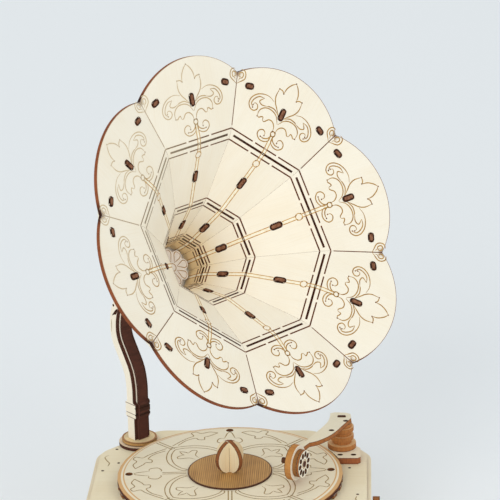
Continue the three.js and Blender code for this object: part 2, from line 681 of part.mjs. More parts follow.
function crank() {
  const group = new THREE.Group();
  const outside = ARM_X + 2 * SHEET;
  const pinHeight = SHAFT_HEIGHT - CRANK_REACH;
  const head = KNOB_PIN_RADIUS + SHEET / 2;
  const knobEnd = outside + RUNNING_CLEARANCE + KNOB_LENGTH + RUNNING_CLEARANCE - ARM_X;
  const pin = turned([[0, 0], [KNOB_PIN_RADIUS, 0], [KNOB_PIN_RADIUS, knobEnd], [head, knobEnd],
    [head, knobEnd + SHEET / 2], [0, knobEnd + SHEET / 2]], ROD_SIDES);
  const bore = KNOB_PIN_RADIUS + RUNNING_CLEARANCE;
  const profile = KNOB_PROFILE_SHARES.map(([length, radius]) => [KNOB_RADIUS * radius, KNOB_LENGTH * length]);
  const knob = turned([[bore, 0], ...profile, [bore, KNOB_LENGTH], [bore, 0]], BORE_SIDES);
  group.add(part('crank_shaft', crankShaft(), BRASS));
  group.add(part('crank_pinion', crankPinion(), BIRCH_SHADE));
  group.add(part('crank_arm', crankArm(), BURNT_EDGE));
  group.add(part('knob_pin', alongX(pin, ARM_X, pinHeight), STEEL));
  group.add(part('crank_knob', alongX(knob, outside + RUNNING_CLEARANCE, pinHeight), BIRCH));
  return group;
}

// Music movement

const DRUM_HEIGHT = SHAFT_HEIGHT - WORM_PITCH_RADIUS - WHEEL_PITCH_RADIUS;
const DRUM_END = -(WHEEL_SHEET / 2 + SHEET / 2);
const TRACK_PITCH = DRUM_LENGTH / (COMB_TEETH + 1);
const FRAME_FRONT = DRUM_END - DRUM_LENGTH - SHEET / 2 - BRIDGE_SHEET;
const FRAME_BACK = WHEEL_SHEET / 2 + SHEET / 2 + BRIDGE_SHEET;
const COMB_TIP = DRUM_X + DRUM_RADIUS + DRUM_PIN_HEIGHT + COMB_GAP;

function trackY(track) {
  return DRUM_END - TRACK_PITCH * (track + 1);
}

function alongY(geometry, y) {
  return geometry.rotateX(-Math.PI / 2).translate(DRUM_X, y, DRUM_HEIGHT);
}

// The pinned drum, with its wheel on the worm and its arbor through both ends
function musicDrum() {
  const turn = Math.PI / 2;
  const outline = toothedOutline(WHEEL_TEETH, WHEEL_PITCH_RADIUS - WHEEL_DEDENDUM,
    WHEEL_PITCH_RADIUS + WORM_ADDENDUM, WHEEL_TIP_SHARE, WHEEL_ROOT_SHARE, turn);
  const wheel = alongY(sheet(new THREE.Shape(outline), WHEEL_SHEET, -WHEEL_SHEET / 2), 0);
  const drum = alongY(rod(DRUM_RADIUS, DRUM_LENGTH, 0, BORE_SIDES), DRUM_END - DRUM_LENGTH);
  const arborLength = FRAME_BACK - FRAME_FRONT + SHEET;
  const arbor = alongY(rod(ARBOR_RADIUS, arborLength, -SHEET / 2, ROD_SIDES), FRAME_FRONT);
  const pins = Array.from({ length: COMB_TEETH }, (_, track) =>
    new THREE.ConeGeometry(DRUM_PIN_HEIGHT / 2, 2 * DRUM_PIN_HEIGHT, 4)
      .translate(0, DRUM_RADIUS, 0)
      .rotateX(Math.PI / 2)
      .rotateY(2 * Math.PI * track * TRACK_TURN_SHARE)
      .translate(DRUM_X, trackY(track), DRUM_HEIGHT));
  return join(drum, wheel, arbor, ...pins);
}

// Comb: one steel sheet, its tines longer towards the bass end
function comb() {
  const tine = TRACK_PITCH * TINE_SHARE / 2;
  const heel = COMB_TIP + COMB_LENGTH;
  const points = [];
  for (let track = 0; track < COMB_TEETH; track += 1) {
    const root = heel - COMB_HEEL * (1 + track / COMB_TEETH);
    const y = trackY(track);
    points.push([root, y + tine], [COMB_TIP, y + tine], [COMB_TIP, y - tine], [root, y - tine]);
  }
  const margin = TRACK_PITCH;
  points.push([heel, trackY(COMB_TEETH - 1) - margin], [heel, trackY(0) + margin]);
  const shape = new THREE.Shape(points.map(([x, y]) => new THREE.Vector2(x, y)));
  return sheet(shape, COMB_SHEET, DRUM_HEIGHT - COMB_SHEET / 2);
}

function movementFrame() {
  const bedBottom = DRUM_HEIGHT - BED_DROP;
  const combHeel = COMB_TIP + COMB_LENGTH;
  const left = DRUM_X - WHEEL_PITCH_RADIUS - SHEET;
  const width = combHeel - left;
  const depth = FRAME_BACK - FRAME_FRONT;
  const middleX = (combHeel + left) / 2;
  const middleY = (FRAME_BACK + FRAME_FRONT) / 2;
  const bed = box(width, depth, SHEET, middleX, middleY, bedBottom);
  const bridgeHeight = BED_DROP + 2 * ARBOR_RADIUS;
  const bridges = [FRAME_FRONT + BRIDGE_SHEET / 2, FRAME_BACK - BRIDGE_SHEET / 2].map((y) =>
    box(DRUM_RADIUS, BRIDGE_SHEET, bridgeHeight, DRUM_X, y, bedBottom));
  const seatTop = DRUM_HEIGHT - COMB_SHEET / 2 - GLUE_LINE;
  const seat = box(COMB_HEEL, DRUM_LENGTH, seatTop - bedBottom, combHeel - COMB_HEEL / 2,
    DRUM_END - DRUM_LENGTH / 2, bedBottom);
  const legInset = BRIDGE_SHEET + SHEET / 2;
  const legs = [[-1, -1], [-1, 1], [1, -1], [1, 1]].map(([x, y]) => rod(LEG_RADIUS,
    bedBottom - FLOOR_SHEET - GLUE_LINE + SHEET / 2, FLOOR_SHEET + GLUE_LINE, ROD_SIDES).translate(
    middleX + x * (width / 2 - legInset), middleY + y * (depth / 2 - legInset), 0));
  const bore = alongY(rod(ARBOR_RADIUS + RUNNING_CLEARANCE, 2 * depth, -depth, ROD_SIDES), middleY);
  return cut(join(bed, ...bridges, seat, ...legs), [bore]);
}

function movement() {
  const group = new THREE.Group();
  group.add(part('movement_frame', movementFrame(), STEEL));
  group.add(part('comb', comb(), STEEL));
  group.add(part('music_drum', musicDrum(), BRASS));
  return group;
}

// Tonearm

const ARM_BOTTOM = PLATTER_TOP + ARM_TOP - RIB_SHEET;
const BRACKET_BOTTOM = BASE_HEIGHT + 2 * GLUE_LINE;
const BRACKET_TOP = BRACKET_BOTTOM + BRACKET_HEIGHT;
const DOWEL_BORE = DOWEL_RADIUS + RUNNING_CLEARANCE;
const TONGUE_HEIGHT = ARM_BOTTOM + RIB_SHEET / 2 - PLATTER_TOP - SOUNDBOX_LIFT;
const TONGUE_END = SOUNDBOX_REACH - Math.sqrt(SOUNDBOX_RADIUS ** 2 - TONGUE_HEIGHT ** 2) + TONGUE_DEPTH;

function tonearmBracket() {
  const radius = PLATTER_RADIUS + BRACKET_CLEARANCE;
  const start = Math.asin(BRACKET_CORNERS.at(-1)[1] / radius);
  const end = Math.acos(BRACKET_CORNERS[0][0] / radius);
  const hollow = [0, 1, 2, 3, 4].map((i) => {
    const angle = start + (end - start) * i / 4;
    return [radius * Math.cos(angle), radius * Math.sin(angle)];
  });
  const outline = [...hollow, ...BRACKET_CORNERS].map(([x, y]) => new THREE.Vector2(x, y));
  const shape = new THREE.Shape(outline.reverse());
  shape.holes.push(circlePath(DOWEL_BORE, PIVOT_X, PIVOT_Y));
  return sheet(shape, BRACKET_HEIGHT, BRACKET_BOTTOM);
}

// Stacked rings of two widths
function tonearmColumn() {
  const bottom = BRACKET_TOP + GLUE_LINE;
  const foot = bottom + COLUMN_FOOT;
  const step = (PLATTER_TOP + COLUMN_TOP - foot) / COLUMN_RING_SHARES.length;
  const profile = COLUMN_RING_SHARES.flatMap((share, i) => [
    [COLUMN_RADIUS * share, foot + i * step], [COLUMN_RADIUS * share, foot + (i + 1) * step],
  ]);
  const top = PLATTER_TOP + COLUMN_TOP;
  return turned([[DOWEL_BORE, bottom], [COLUMN_RADIUS, bottom], [COLUMN_RADIUS, foot], ...profile,
    [DOWEL_BORE, top], [DOWEL_BORE, bottom]], COLUMN_SIDES).translate(PIVOT_X, PIVOT_Y, 0);
}

function armPoints(shares) {
  return shares.map(([along, across]) => new THREE.Vector2(ARM_REACH * along, ARM_HALF_WIDTH * across));
}

// The arm's plank ends in a narrow tongue that enters the soundbox's ring
function tonearmArm() {
  const [front, back] = [ARM_FRONT_SHARES, ARM_BACK_SHARES]
    .map((shares) => new THREE.SplineCurve(armPoints(shares)).getPoints(ARM_STEPS));
  const tongue = [1, -1].map((side) => new THREE.Vector2(TONGUE_END, side * TONGUE_WIDTH / 2));
  const shape = new THREE.Shape([...front, ...tongue, ...back, ...armPoints(ARM_END_SHARES)].reverse());
  const slot = box(ARM_TENON_LENGTH + 2 * JOINT_CLEARANCE, ARM_TENON_WIDTH + 2 * JOINT_CLEARANCE,
    RIB_SHEET + 2 * OVERRUN, 0, 0, ARM_BOTTOM - OVERRUN).rotateZ(-ARM_TURN);
  return cut(sheet(shape, RIB_SHEET, ARM_BOTTOM), [slot]);
}

// The pin turns in the column and holds the arm by an oblong tenon
function tonearmPin() {
  const bottom = BASE_HEIGHT - 2 * SHEET + RUNNING_CLEARANCE;
  const shank = rod(DOWEL_RADIUS, ARM_BOTTOM - bottom, bottom);
  const shoulder = ARM_BOTTOM - RUNNING_CLEARANCE;
  const tenonHeight = PLATTER_TOP + ARM_TOP + TENON_PROUD - shoulder;
  const tenon = box(ARM_TENON_LENGTH, ARM_TENON_WIDTH, tenonHeight, 0, 0, shoulder);
  return join(shank, tenon);
}

// Turns a piece made round Z to the soundbox's axis and sets it at the end of the arm
function onSoundbox(geometry) {
  return geometry.rotateX(-Math.PI / 2).rotateZ(SOUNDBOX_TURN)
    .translate(SOUNDBOX_REACH, SOUNDBOX_ASIDE, PLATTER_TOP + SOUNDBOX_LIFT);
}

function soundboxBody() {
  const half = SOUNDBOX_RING / 2;
  const face = half + SOUNDBOX_COLLAR;
  const bore = SOUNDBOX_AXLE_RADIUS + PRESS_GAP;
  const cavity = SOUNDBOX_COLLAR_RADIUS - SOUNDBOX_WALL;
  const body = onSoundbox(turned([
    [bore, -half], [SOUNDBOX_RADIUS, -half], [SOUNDBOX_RADIUS, half], [SOUNDBOX_COLLAR_RADIUS, half],
    [SOUNDBOX_COLLAR_RADIUS, face], [cavity, face], [cavity, 0], [bore, 0], [bore, -half],
  ], SOUNDBOX_SIDES));
  const notchLength = 2 * TONGUE_DEPTH + SOUNDBOX_RADIUS / 2;
  const notch = box(notchLength, TONGUE_WIDTH + 2 * JOINT_CLEARANCE, RIB_SHEET + 2 * JOINT_CLEARANCE,
    TONGUE_END + JOINT_CLEARANCE - notchLength / 2, 0, ARM_BOTTOM - JOINT_CLEARANCE);
  return cut(body, [notch]);
}

function soundboxGrille() {
  const shape = circleShape(SOUNDBOX_COLLAR_RADIUS);
  shape.holes.push(circlePath(SOUNDBOX_AXLE_RADIUS + PRESS_GAP));
  const holeCircle = SOUNDBOX_COLLAR_RADIUS - SOUNDBOX_WALL - GRILLE_HOLE_RADIUS;
  const face = SOUNDBOX_RING / 2 + SOUNDBOX_COLLAR + GLUE_LINE;
  const holes = Array.from({ length: GRILLE_HOLES }, (_, i) => {
    const angle = 2 * Math.PI * i / GRILLE_HOLES;
    return rod(GRILLE_HOLE_RADIUS, GRILLE_SHEET + 2 * OVERRUN, face - OVERRUN, 6)
      .translate(holeCircle * Math.cos(angle), holeCircle * Math.sin(angle), 0);
  });
  return onSoundbox(cut(sheet(shape, GRILLE_SHEET, face, SOUNDBOX_SIDES / 2), holes));
}

// The soundbox turns on one rod, which stands out at its back
function soundboxAxle() {
  const start = -SOUNDBOX_RING / 2 - SOUNDBOX_STUB;
  const end = SOUNDBOX_RING / 2 + SOUNDBOX_COLLAR + GRILLE_SHEET + TENON_PROUD;
  return onSoundbox(rod(SOUNDBOX_AXLE_RADIUS, end - start, start, ROD_SIDES));
}

function tonearm() {
  const group = new THREE.Group();
  group.position.set(PIVOT_X, PIVOT_Y, 0);
  group.add(part('tonearm_pin', tonearmPin(), DARK_EDGE));
  const swung = new THREE.Group();
  swung.rotation.z = ARM_TURN;
  swung.add(part('tonearm_arm', tonearmArm(), BIRCH));
  swung.add(part('soundbox_body', soundboxBody(), BIRCH_SHADE));
  swung.add(part('soundbox_grille', soundboxGrille(), BIRCH));
  swung.add(part('soundbox_axle', soundboxAxle(), DARK_EDGE));
  group.add(swung);
  return group;
}

// Pieces that stand on the lid or the floor and stay still

function fixtures() {
  const group = new THREE.Group();
  const foot = ring(FOOT_RADIUS, DOWEL_BORE, SHEET - GLUE_LINE, BASE_HEIGHT + 2 * GLUE_LINE);
  const footstep = ring(PEG_HUB_RADIUS, SPINDLE_RADIUS + RUNNING_CLEARANCE, FOOTSTEP_HEIGHT,
    FLOOR_SHEET + GLUE_LINE, BORE_SIDES);
  group.add(part('foot_ring', foot.translate(FOOT_X, FOOT_Y, 0), BURNT_EDGE));
  group.add(part('tonearm_bracket', tonearmBracket(), BIRCH));
  group.add(part('tonearm_column', tonearmColumn(), BURNT_EDGE));
  group.add(part('spindle_footstep', footstep, BIRCH_SHADE));
  group.add(part('shaft_bush', shaftBush(), BURNT_EDGE));
  group.add(part('shaft_hanger', shaftHanger(), BIRCH_SHADE));
  return group;
}

// Post: a thick core between two cheeks; its outline lies in X and Z of the turned mast

const SWIVEL_BOTTOM = BASE_HEIGHT + SHEET + 2 * GLUE_LINE + RUNNING_CLEARANCE;
const POST_BOTTOM = SWIVEL_BOTTOM + SHEET + GLUE_LINE;
const HUB_BACK = alongHorn(-HUB_DEPTH - JOINT_CLEARANCE);

// The point of the horn's axis that lies this far before the notches of its rim
function alongHorn(distance) {
  return new THREE.Vector2(HORN_REACH, HORN_HEIGHT)
    .add(new THREE.Vector2(distance, 0).rotateAround(PLANE_ORIGIN, HORN_TILT));
}

function postOutline(frontSetback) {
  const corners = POST_LINE.map(([x, height]) => new THREE.Vector2(x, height));
  const approach = alongHorn(-HUB_DEPTH - JOINT_CLEARANCE - 2 * POST_WIDTH);
  const curve = new THREE.SplineCurve([...corners, approach, HUB_BACK]);
  const [footX] = POST_LINE[0];
  const half = POST_WIDTH / 2;
  const edge = (side, setback) => {
    const straight = [[POST_BOTTOM - PLATTER_TOP, 0], ...POST_BALUSTER]
      .map(([height, bulge]) => new THREE.Vector2(footX + side * (half + bulge - setback), height));
    const bent = Array.from({ length: POST_STEPS + 1 }, (_, i) => {
      const tangent = curve.getTangent(i / POST_STEPS);
      const out = new THREE.Vector2(tangent.y, -tangent.x).multiplyScalar(side * (half - setback));
      return curve.getPoint(i / POST_STEPS).add(out);
    });
    return [...straight, ...bent];
  };
  return [...edge(1, frontSetback), ...edge(-1, 0).reverse()];
}

function postSheet(thickness, frontSetback) {
  return uprightSheet(new THREE.Shape(postOutline(frontSetback)), thickness).translate(0, 0, PLATTER_TOP);
}

function postCore() {
  const dowelBottom = BASE_HEIGHT - 2 * SHEET + RUNNING_CLEARANCE;
  const dowel = rod(DOWEL_RADIUS, POST_BOTTOM + SHEET - dowelBottom, dowelBottom);
  const reach = HUB_DEPTH - ROSETTE_DEPTH - SHEET;
  const tenon = new THREE.BoxGeometry(reach + SHEET, POST_CORE, HUB_TENON)
    .translate((reach - SHEET) / 2, 0, 0)
    .rotateY(-HORN_TILT)
    .translate(HUB_BACK.x, 0, HUB_BACK.y + PLATTER_TOP);
  return join(postSheet(POST_CORE, 0), dowel, tenon);
}

function postCheek(side) {
  const offset = (POST_CORE + SHEET) / 2 + GLUE_LINE;
  return postSheet(SHEET, CHEEK_SETBACK).translate(0, side * offset, 0);
}

// Horn leaves: in a leaf's own frame X is radial, Y runs across the leaf and Z is the horn's axis

const FOLD_CORNERS = [
  [THROAT_RADIUS, -THROAT_DEPTH], [THROAT_FOLD_RADIUS, -THROAT_FOLD_DEPTH],
  [BELL_FOLD_RADIUS, -BELL_FOLD_DEPTH], [RIM_FOLD_RADIUS, -RIM_FOLD_DEPTH], [NOTCH_RADIUS, 0],
].map(([radius, height]) => new THREE.Vector2(radius * Math.cos(HALF_SECTOR), height));
const LEGS = FOLD_CORNERS.slice(1).map((corner, i) => corner.clone().sub(FOLD_CORNERS[i]));
const [MOUTHPIECE_LEG, THROAT_LEG, BELL_LEG, PETAL_LEG] = LEGS.keys();
const TENON_PLACES = [[THROAT_LEG, THROAT_TENON], [BELL_LEG, BELL_TENON], [PETAL_LEG, PETAL_TENON]];
const NOTCH_HALF_WIDTH = NOTCH_RADIUS * Math.sin(HALF_SECTOR) - SEAM_GAP / 2;

// A place on the inner surface along the leaf's middle: its point and its slope
function legPlace(leg, distance) {
  const slope = LEGS[leg].angle();
  const step = new THREE.Vector2(distance, 0).rotateAround(PLANE_ORIGIN, slope);
  return { point: FOLD_CORNERS[leg].clone().add(step), slope };
}

// A place within a fold, which is bent to an arc as long as its rows of slits
function foldPlace(fold, share) {
  const before = LEGS[fold].angle();
  const turn = before - LEGS[fold + 1].angle();
  const radius = FOLD_ROWS[fold] * FOLD_PITCHES[fold] / turn;
  const start = legPlace(fold, LEGS[fold].length() - radius * Math.tan(turn / 2)).point;
  const chord = 2 * radius * Math.sin(turn * share / 2);
  const step = new THREE.Vector2(chord, 0).rotateAround(PLANE_ORIGIN, before - turn * share / 2);
  return { point: start.add(step), slope: before - turn * share };
}

function foldStations(fold) {
  const rows = FOLD_ROWS[fold];
  return Array.from({ length: rows + 1 }, (_, i) => foldPlace(fold, i / rows));
}

function behind(place, depth) {
  return place.point.clone().add(new THREE.Vector2(0, -depth).rotateAround(PLANE_ORIGIN, place.slope));
}

function halfWidthAt(place) {
  return Math.min(place.point.x * Math.tan(HALF_SECTOR) - SEAM_GAP / 2, NOTCH_HALF_WIDTH);
}

function leafStations() {
  const folds = FOLD_ROWS.flatMap((_, fold) => foldStations(fold));
  const notch = LEGS[PETAL_LEG].length();
  const tip = notch + PETAL_RISE + OVERRUN;
  return [legPlace(MOUTHPIECE_LEG, 0), ...folds, legPlace(PETAL_LEG, notch), legPlace(PETAL_LEG, tip)];
}

function leafStrip() {
  return loft(leafStations().map((place) => {
    const half = halfWidthAt(place);
    const front = place.point;
    const back = behind(place, SHEET);
    return [[front, half], [front, -half], [back, -half], [back, half]]
      .map(([point, y]) => new THREE.Vector3(point.x, y, point.y));
  }));
}

// A block that stands square on the inner surface: along the leaf, across it and through it
function blockAt(place, length, width, height, y = 0, turn = 0) {
  return new THREE.BoxGeometry(length, width, height)
    .rotateZ(turn)
    .rotateY(-place.slope)
    .translate(place.point.x, y, place.point.y);
}

// The middle row of a fold is one long slit, and the rows change in turn between one slit and dashes
function slitCutters() {
  return FOLD_ROWS.flatMap((rows, fold) => Array.from({ length: rows }, (_, row) => {
    const place = foldPlace(fold, (row + 1 / 2) / rows);
    const whole = (row - (rows - 1) / 2) % 2 === 0;
    const count = whole ? 1 : FOLD_DASHES[fold];
    const reach = halfWidthAt(place) - (whole ? SLIT_ENDS[fold] : DASH_END);
    const pitch = (2 * reach + DASH_GAPS[fold]) / count;
    return Array.from({ length: count }, (__, i) => {
      const middle = (i - (count - 1) / 2) * pitch;
      return blockAt(place, SLIT_WIDTH, pitch - DASH_GAPS[fold], 4 * SHEET, middle);
    });
  }).flat());
}

function ribSlotCutters() {
  const length = TENON_LENGTH + 2 * JOINT_CLEARANCE;
  const width = RIB_SHEET + 2 * JOINT_CLEARANCE;
  return TENON_PLACES.map(([leg, distance]) => blockAt(legPlace(leg, distance), length, width, 4 * SHEET));
}

// The waste outside the petal's round end
function petalWaste() {
  const radius = (NOTCH_HALF_WIDTH ** 2 + PETAL_RISE ** 2) / (2 * PETAL_RISE);
  const centre = LEGS[PETAL_LEG].length() + PETAL_RISE - radius;
  const start = Math.asin(NOTCH_HALF_WIDTH / radius);
  const arc = Array.from({ length: PETAL_STEPS + 1 }, (_, i) => {
    const angle = start - 2 * start * i / PETAL_STEPS;
    return new THREE.Vector2(centre + radius * Math.cos(angle), radius * Math.sin(angle));
  });
  const side = NOTCH_HALF_WIDTH + OVERRUN;
  const end = LEGS[PETAL_LEG].length() + PETAL_RISE + 2 * OVERRUN;
  const [first, last] = [arc[0], arc.at(-1)];
  const shape = new THREE.Shape([...arc, new THREE.Vector2(last.x, -side), new THREE.Vector2(end, -side),
    new THREE.Vector2(end, side), new THREE.Vector2(first.x, side)]);
  const corner = legPlace(PETAL_LEG, 0);
  return sheet(shape, 4 * SHEET, -2 * SHEET).rotateY(-corner.slope)
    .translate(corner.point.x, 0, corner.point.y);
}

// Clips behind the seams; in the seam's frame X runs outward along it
const SEAM_SLOPE = Math.atan2(RIM_FOLD_DEPTH, NOTCH_RADIUS - RIM_FOLD_RADIUS);
const SEAM_POINT = new THREE.Vector2(CLIP_RADIUS, (CLIP_RADIUS - NOTCH_RADIUS) * Math.tan(SEAM_SLOPE));
const SEAM_RISE = Math.tan(LEGS[PETAL_LEG].angle()) * Math.sin(HALF_SECTOR) * Math.cos(SEAM_SLOPE);

function clipPlate() {
  const front = (y, depth) => new THREE.Vector2(y, Math.abs(y) * SEAM_RISE - depth);
  const gap = SHEET + JOINT_CLEARANCE;
  const half = CLIP_TENON / 2;
  const tenon = (side) => [-half, half].map((step) => side * CLIP_TENON_SPREAD + step);
  const tenonPoints = (side) => {
    const [start, end] = tenon(side);
    return [front(start, gap), front(start, -TENON_PROUD), front(end, -TENON_PROUD), front(end, gap)];
  };
  const end = CLIP_LENGTH / 2;
  const bevel = CLIP_DEPTH / 2;
  const back = [[end, bevel], [end - bevel, CLIP_DEPTH], [bevel - end, CLIP_DEPTH], [-end, bevel]]
    .map(([y, depth]) => new THREE.Vector2(y, -gap - depth));
  const outline = [front(-end, gap), ...tenonPoints(-1), front(0, gap), ...tenonPoints(1), front(end, gap),
    ...back];
  const plate = acrossSheet(new THREE.Shape(outline), RIB_SHEET, -RIB_SHEET / 2);
  return plate.rotateY(-SEAM_SLOPE).translate(SEAM_POINT.x, 0, SEAM_POINT.y).rotateZ(-HALF_SECTOR);
}

function clipSlotCutter() {
  const height = CLIP_TENON_SPREAD * SEAM_RISE;
  const [width, length] = [RIB_SHEET, CLIP_TENON].map((size) => size + 2 * JOINT_CLEARANCE);
  return new THREE.BoxGeometry(width, length, 4 * SHEET)
    .translate(0, -CLIP_TENON_SPREAD, height)
    .rotateY(-SEAM_SLOPE)
    .translate(SEAM_POINT.x, 0, SEAM_POINT.y)
    .rotateZ(HALF_SECTOR);
}

function hornLeaf() {
  const strip = cut(leafStrip(), [petalWaste(), clipSlotCutter(), ...slitCutters(), ...ribSlotCutters()]);
  return join(strip, clipPlate());
}

// A rib follows the back of its leaf; three tenons come through the leaf and one through the hub
function hornRib() {
  const gap = SHEET + JOINT_CLEARANCE;
  const half = TENON_LENGTH / 2;
  const tenon = ([leg, distance]) => {
    const [start, end] = [legPlace(leg, distance - half), legPlace(leg, distance + half)];
    return [behind(start, gap), behind(start, -TENON_PROUD), behind(end, -TENON_PROUD), behind(end, gap)];
  };
  const fold = (i) => foldStations(i).map((place) => behind(place, gap));
  const [throat, bell, petal] = TENON_PLACES;
  const bottom = -HUB_DEPTH + HUB_SHEET + JOINT_CLEARANCE;
  const start = behind(legPlace(MOUTHPIECE_LEG, 0), gap);
  const [tailIn, tailOut] = RIB_TAIL;
  const tail = [[tailOut, bottom], [tailOut, -HUB_DEPTH - TENON_PROUD], [tailIn, -HUB_DEPTH - TENON_PROUD],
    [tailIn, bottom]].map(([x, y]) => new THREE.Vector2(x, y));
  const back = new THREE.CubicBezierCurve(...RIB_BACK.map(([x, depth]) => new THREE.Vector2(x, -depth)));
  const shape = new THREE.Shape([new THREE.Vector2(start.x, bottom), start, ...fold(0), ...tenon(throat),
    ...fold(1), ...tenon(bell), ...fold(2), ...tenon(petal), behind(legPlace(PETAL_LEG, RIB_END), gap),
    ...back.getPoints(9).reverse(), ...tail]);
  return uprightSheet(shape, RIB_SHEET);
}

function hornHub() {
  const disc = rod(HUB_RADIUS, HUB_SHEET, -HUB_DEPTH, 48);
  const [tailIn, tailOut] = RIB_TAIL;
  const depth = HUB_SHEET + 2 * OVERRUN;
  const bottom = -HUB_DEPTH - OVERRUN;
  const slots = Array.from({ length: HORN_LEAVES }, (_, i) =>
    box(tailOut - tailIn + 2 * JOINT_CLEARANCE, RIB_SHEET + 2 * JOINT_CLEARANCE, depth,
      (tailIn + tailOut) / 2, 0, bottom).rotateZ(leafTurn(i)));
  const hole = box(POST_CORE + 2 * JOINT_CLEARANCE, HUB_TENON + 2 * JOINT_CLEARANCE, depth, 0, 0, bottom);
  return cut(disc, [...slots, hole]);
}

function throatRosette() {
  const steps = 8 * ROSETTE_LOBES;
  const outline = Array.from({ length: steps }, (_, i) => {
    const angle = 2 * Math.PI * i / steps;
    const lobe = Math.abs(Math.cos(angle * ROSETTE_LOBES / 2));
    const radius = ROSETTE_RADIUS * (ROSETTE_LOBE_SHARE + (1 - ROSETTE_LOBE_SHARE) * lobe);
    return new THREE.Vector2(radius * Math.cos(angle), radius * Math.sin(angle));
  });
  return sheet(new THREE.Shape(outline), SHEET, -ROSETTE_DEPTH - SHEET);
}

function leafTurn(i) {
  return Math.PI / 2 + HORN_TURN - i * SECTOR;
}

function horn() {
  const group = new THREE.Group();
  const tilt = new THREE.Matrix4().makeBasis(
    new THREE.Vector3(0, 1, 0),
    new THREE.Vector3(-Math.sin(HORN_TILT), 0, Math.cos(HORN_TILT)),
    new THREE.Vector3(Math.cos(HORN_TILT), 0, Math.sin(HORN_TILT)),
  );
  group.applyMatrix4(tilt);
  group.position.set(HORN_REACH, 0, PLATTER_TOP + HORN_HEIGHT);
  group.add(part('horn_hub', hornHub(), BIRCH_SHADE));
  group.add(part('throat_rosette', throatRosette(), BURNT_EDGE));
  for (let i = 0; i < HORN_LEAVES; i += 1) {
    const sector = new THREE.Group();
    sector.rotation.z = leafTurn(i);
    sector.add(part(`horn_leaf_${i + 1}`, hornLeaf(), BIRCH));
    sector.add(part(`horn_rib_${i + 1}`, hornRib(), BIRCH_SHADE));
    group.add(sector);
  }
  return group;
}

function mast() {
  const group = new THREE.Group();
  group.position.set(FOOT_X, FOOT_Y, 0);
  group.rotation.z = POST_TURN;
  const swivel = ring(SWIVEL_RADIUS, DOWEL_RADIUS + PRESS_GAP, SHEET, SWIVEL_BOTTOM);
  group.add(part('swivel_ring', swivel, BURNT_EDGE));
  group.add(part('post_core', postCore(), DARK_EDGE));
  group.add(part('post_cheek_left', postCheek(1), BIRCH));
  group.add(part('post_cheek_right', postCheek(-1), BIRCH));
  group.add(horn());
  return group;
}

const musicBox = new THREE.Group();
musicBox.name = 'disc_music_box';
musicBox.add(casework(), fixtures(), crank(), movement(), platter(), tonearm(), mast());

export default musicBox;
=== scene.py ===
"""Looks of a disc music box built like a small horn gramophone, cut from plywood sheet by laser."""

import math

import bmesh
import bpy
from mathutils import Matrix, Vector


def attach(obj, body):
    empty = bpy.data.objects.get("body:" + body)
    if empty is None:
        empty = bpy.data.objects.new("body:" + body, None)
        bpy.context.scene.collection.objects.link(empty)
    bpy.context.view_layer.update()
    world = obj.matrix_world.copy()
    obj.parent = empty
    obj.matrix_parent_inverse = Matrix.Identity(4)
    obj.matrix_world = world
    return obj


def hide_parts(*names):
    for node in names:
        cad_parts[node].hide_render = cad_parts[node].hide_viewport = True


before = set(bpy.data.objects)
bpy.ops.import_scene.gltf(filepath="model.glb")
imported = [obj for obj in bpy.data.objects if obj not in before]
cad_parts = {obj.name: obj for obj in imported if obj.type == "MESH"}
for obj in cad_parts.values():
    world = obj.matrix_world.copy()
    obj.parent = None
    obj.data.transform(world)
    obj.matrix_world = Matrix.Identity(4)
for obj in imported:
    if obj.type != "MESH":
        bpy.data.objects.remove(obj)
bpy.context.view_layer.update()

MM = 0.001
X_AXIS, Y_AXIS, Z_AXIS = Vector((1, 0, 0)), Vector((0, 1, 0)), Vector((0, 0, 1))

# Sizes that the solids and the looks share, in millimetres
SHEET = 2.0
RIB_SHEET = 2.7
PLATTER_TOP = 57.75
LID_TOP = 52.05
LABEL_RADIUS = 23.9
LABEL_TOP = 58.7
LABEL_STRIPE = 1.15
LABEL_RIM = 0.6
PLATTER_RADIUS = 63.6
FOOT_X = -55.87
FOOT_Y = 51.57
POST_TURN = math.radians(-45)
POST_HALF_THICKNESS = 5.55
PIVOT = (62.8, 38.4)
ARM_TURN = math.radians(-118.1)
ARM_TOP = 17.0
SOUNDBOX_PLACE = (57.6, 1.7, 12.1)
SOUNDBOX_TURN = math.radians(4.9)
GRILLE_FACE = 5.75
GRILLE_HOLES = 10
GRILLE_HOLE_RADIUS = 1.05
GRILLE_CIRCLE = 5.45
GRILLE_RING = 2.4
HALO_LONG, HALO_SHORT, HALO_INSET = 0.75, 0.4, 0.1
ROSETTE_RADIUS = 11.0
ROSETTE_DEPTH = 72.6

HORN_LEAVES = 8
HORN_REACH = 99.0
HORN_HEIGHT = 148.65
HORN_TILT = math.radians(29.1)
HORN_TURN = math.radians(1.65)
SECTOR = 2 * math.pi / HORN_LEAVES
HALF_SECTOR = SECTOR / 2
THROAT_EDGE = (12.6, -75.0)
THROAT_FOLD = (14.2, -62.7)
BELL_FOLD = (28.6, -37.7)
RIM_FOLD = (59.7, -9.7)
NOTCH = (92.3, 0.0)
PETAL_RISE = 16.0
FOLD_ROWS = (5, 3, 3)
FOLD_PITCHES = (2.0, 2.45, 2.95)
FOLD_DASHES = (2, 2, 3)
DASH_GAPS = (2.3, 3.9, 2.2)
DASH_END = 0.35
SLIT_ENDS = (1.2, 1.9, 2.5)
SLIT_WIDTH = 0.24
SLIT_BURN = 0.28
MIDDLE_BURN = 0.5
SEAM_GAP = 0.1
TENON_LENGTH = 6.4
CLIP_TENON = 4.6
TENON_PROUD = 0.4
TENON_CORNER = 1.0
CAP_MARGIN = 0.03
CAP_SKIRT = 0.3
CAP_BORDER = 0.85
CAP_CORNER = 0.8
SLOT_CLEARANCE = 0.06
SLOT_BURN = 0.5
SLOT_CORNER = 0.7
THROAT_TENON = 13.8
BELL_TENON = 19.75
PETAL_TENON = 24.6
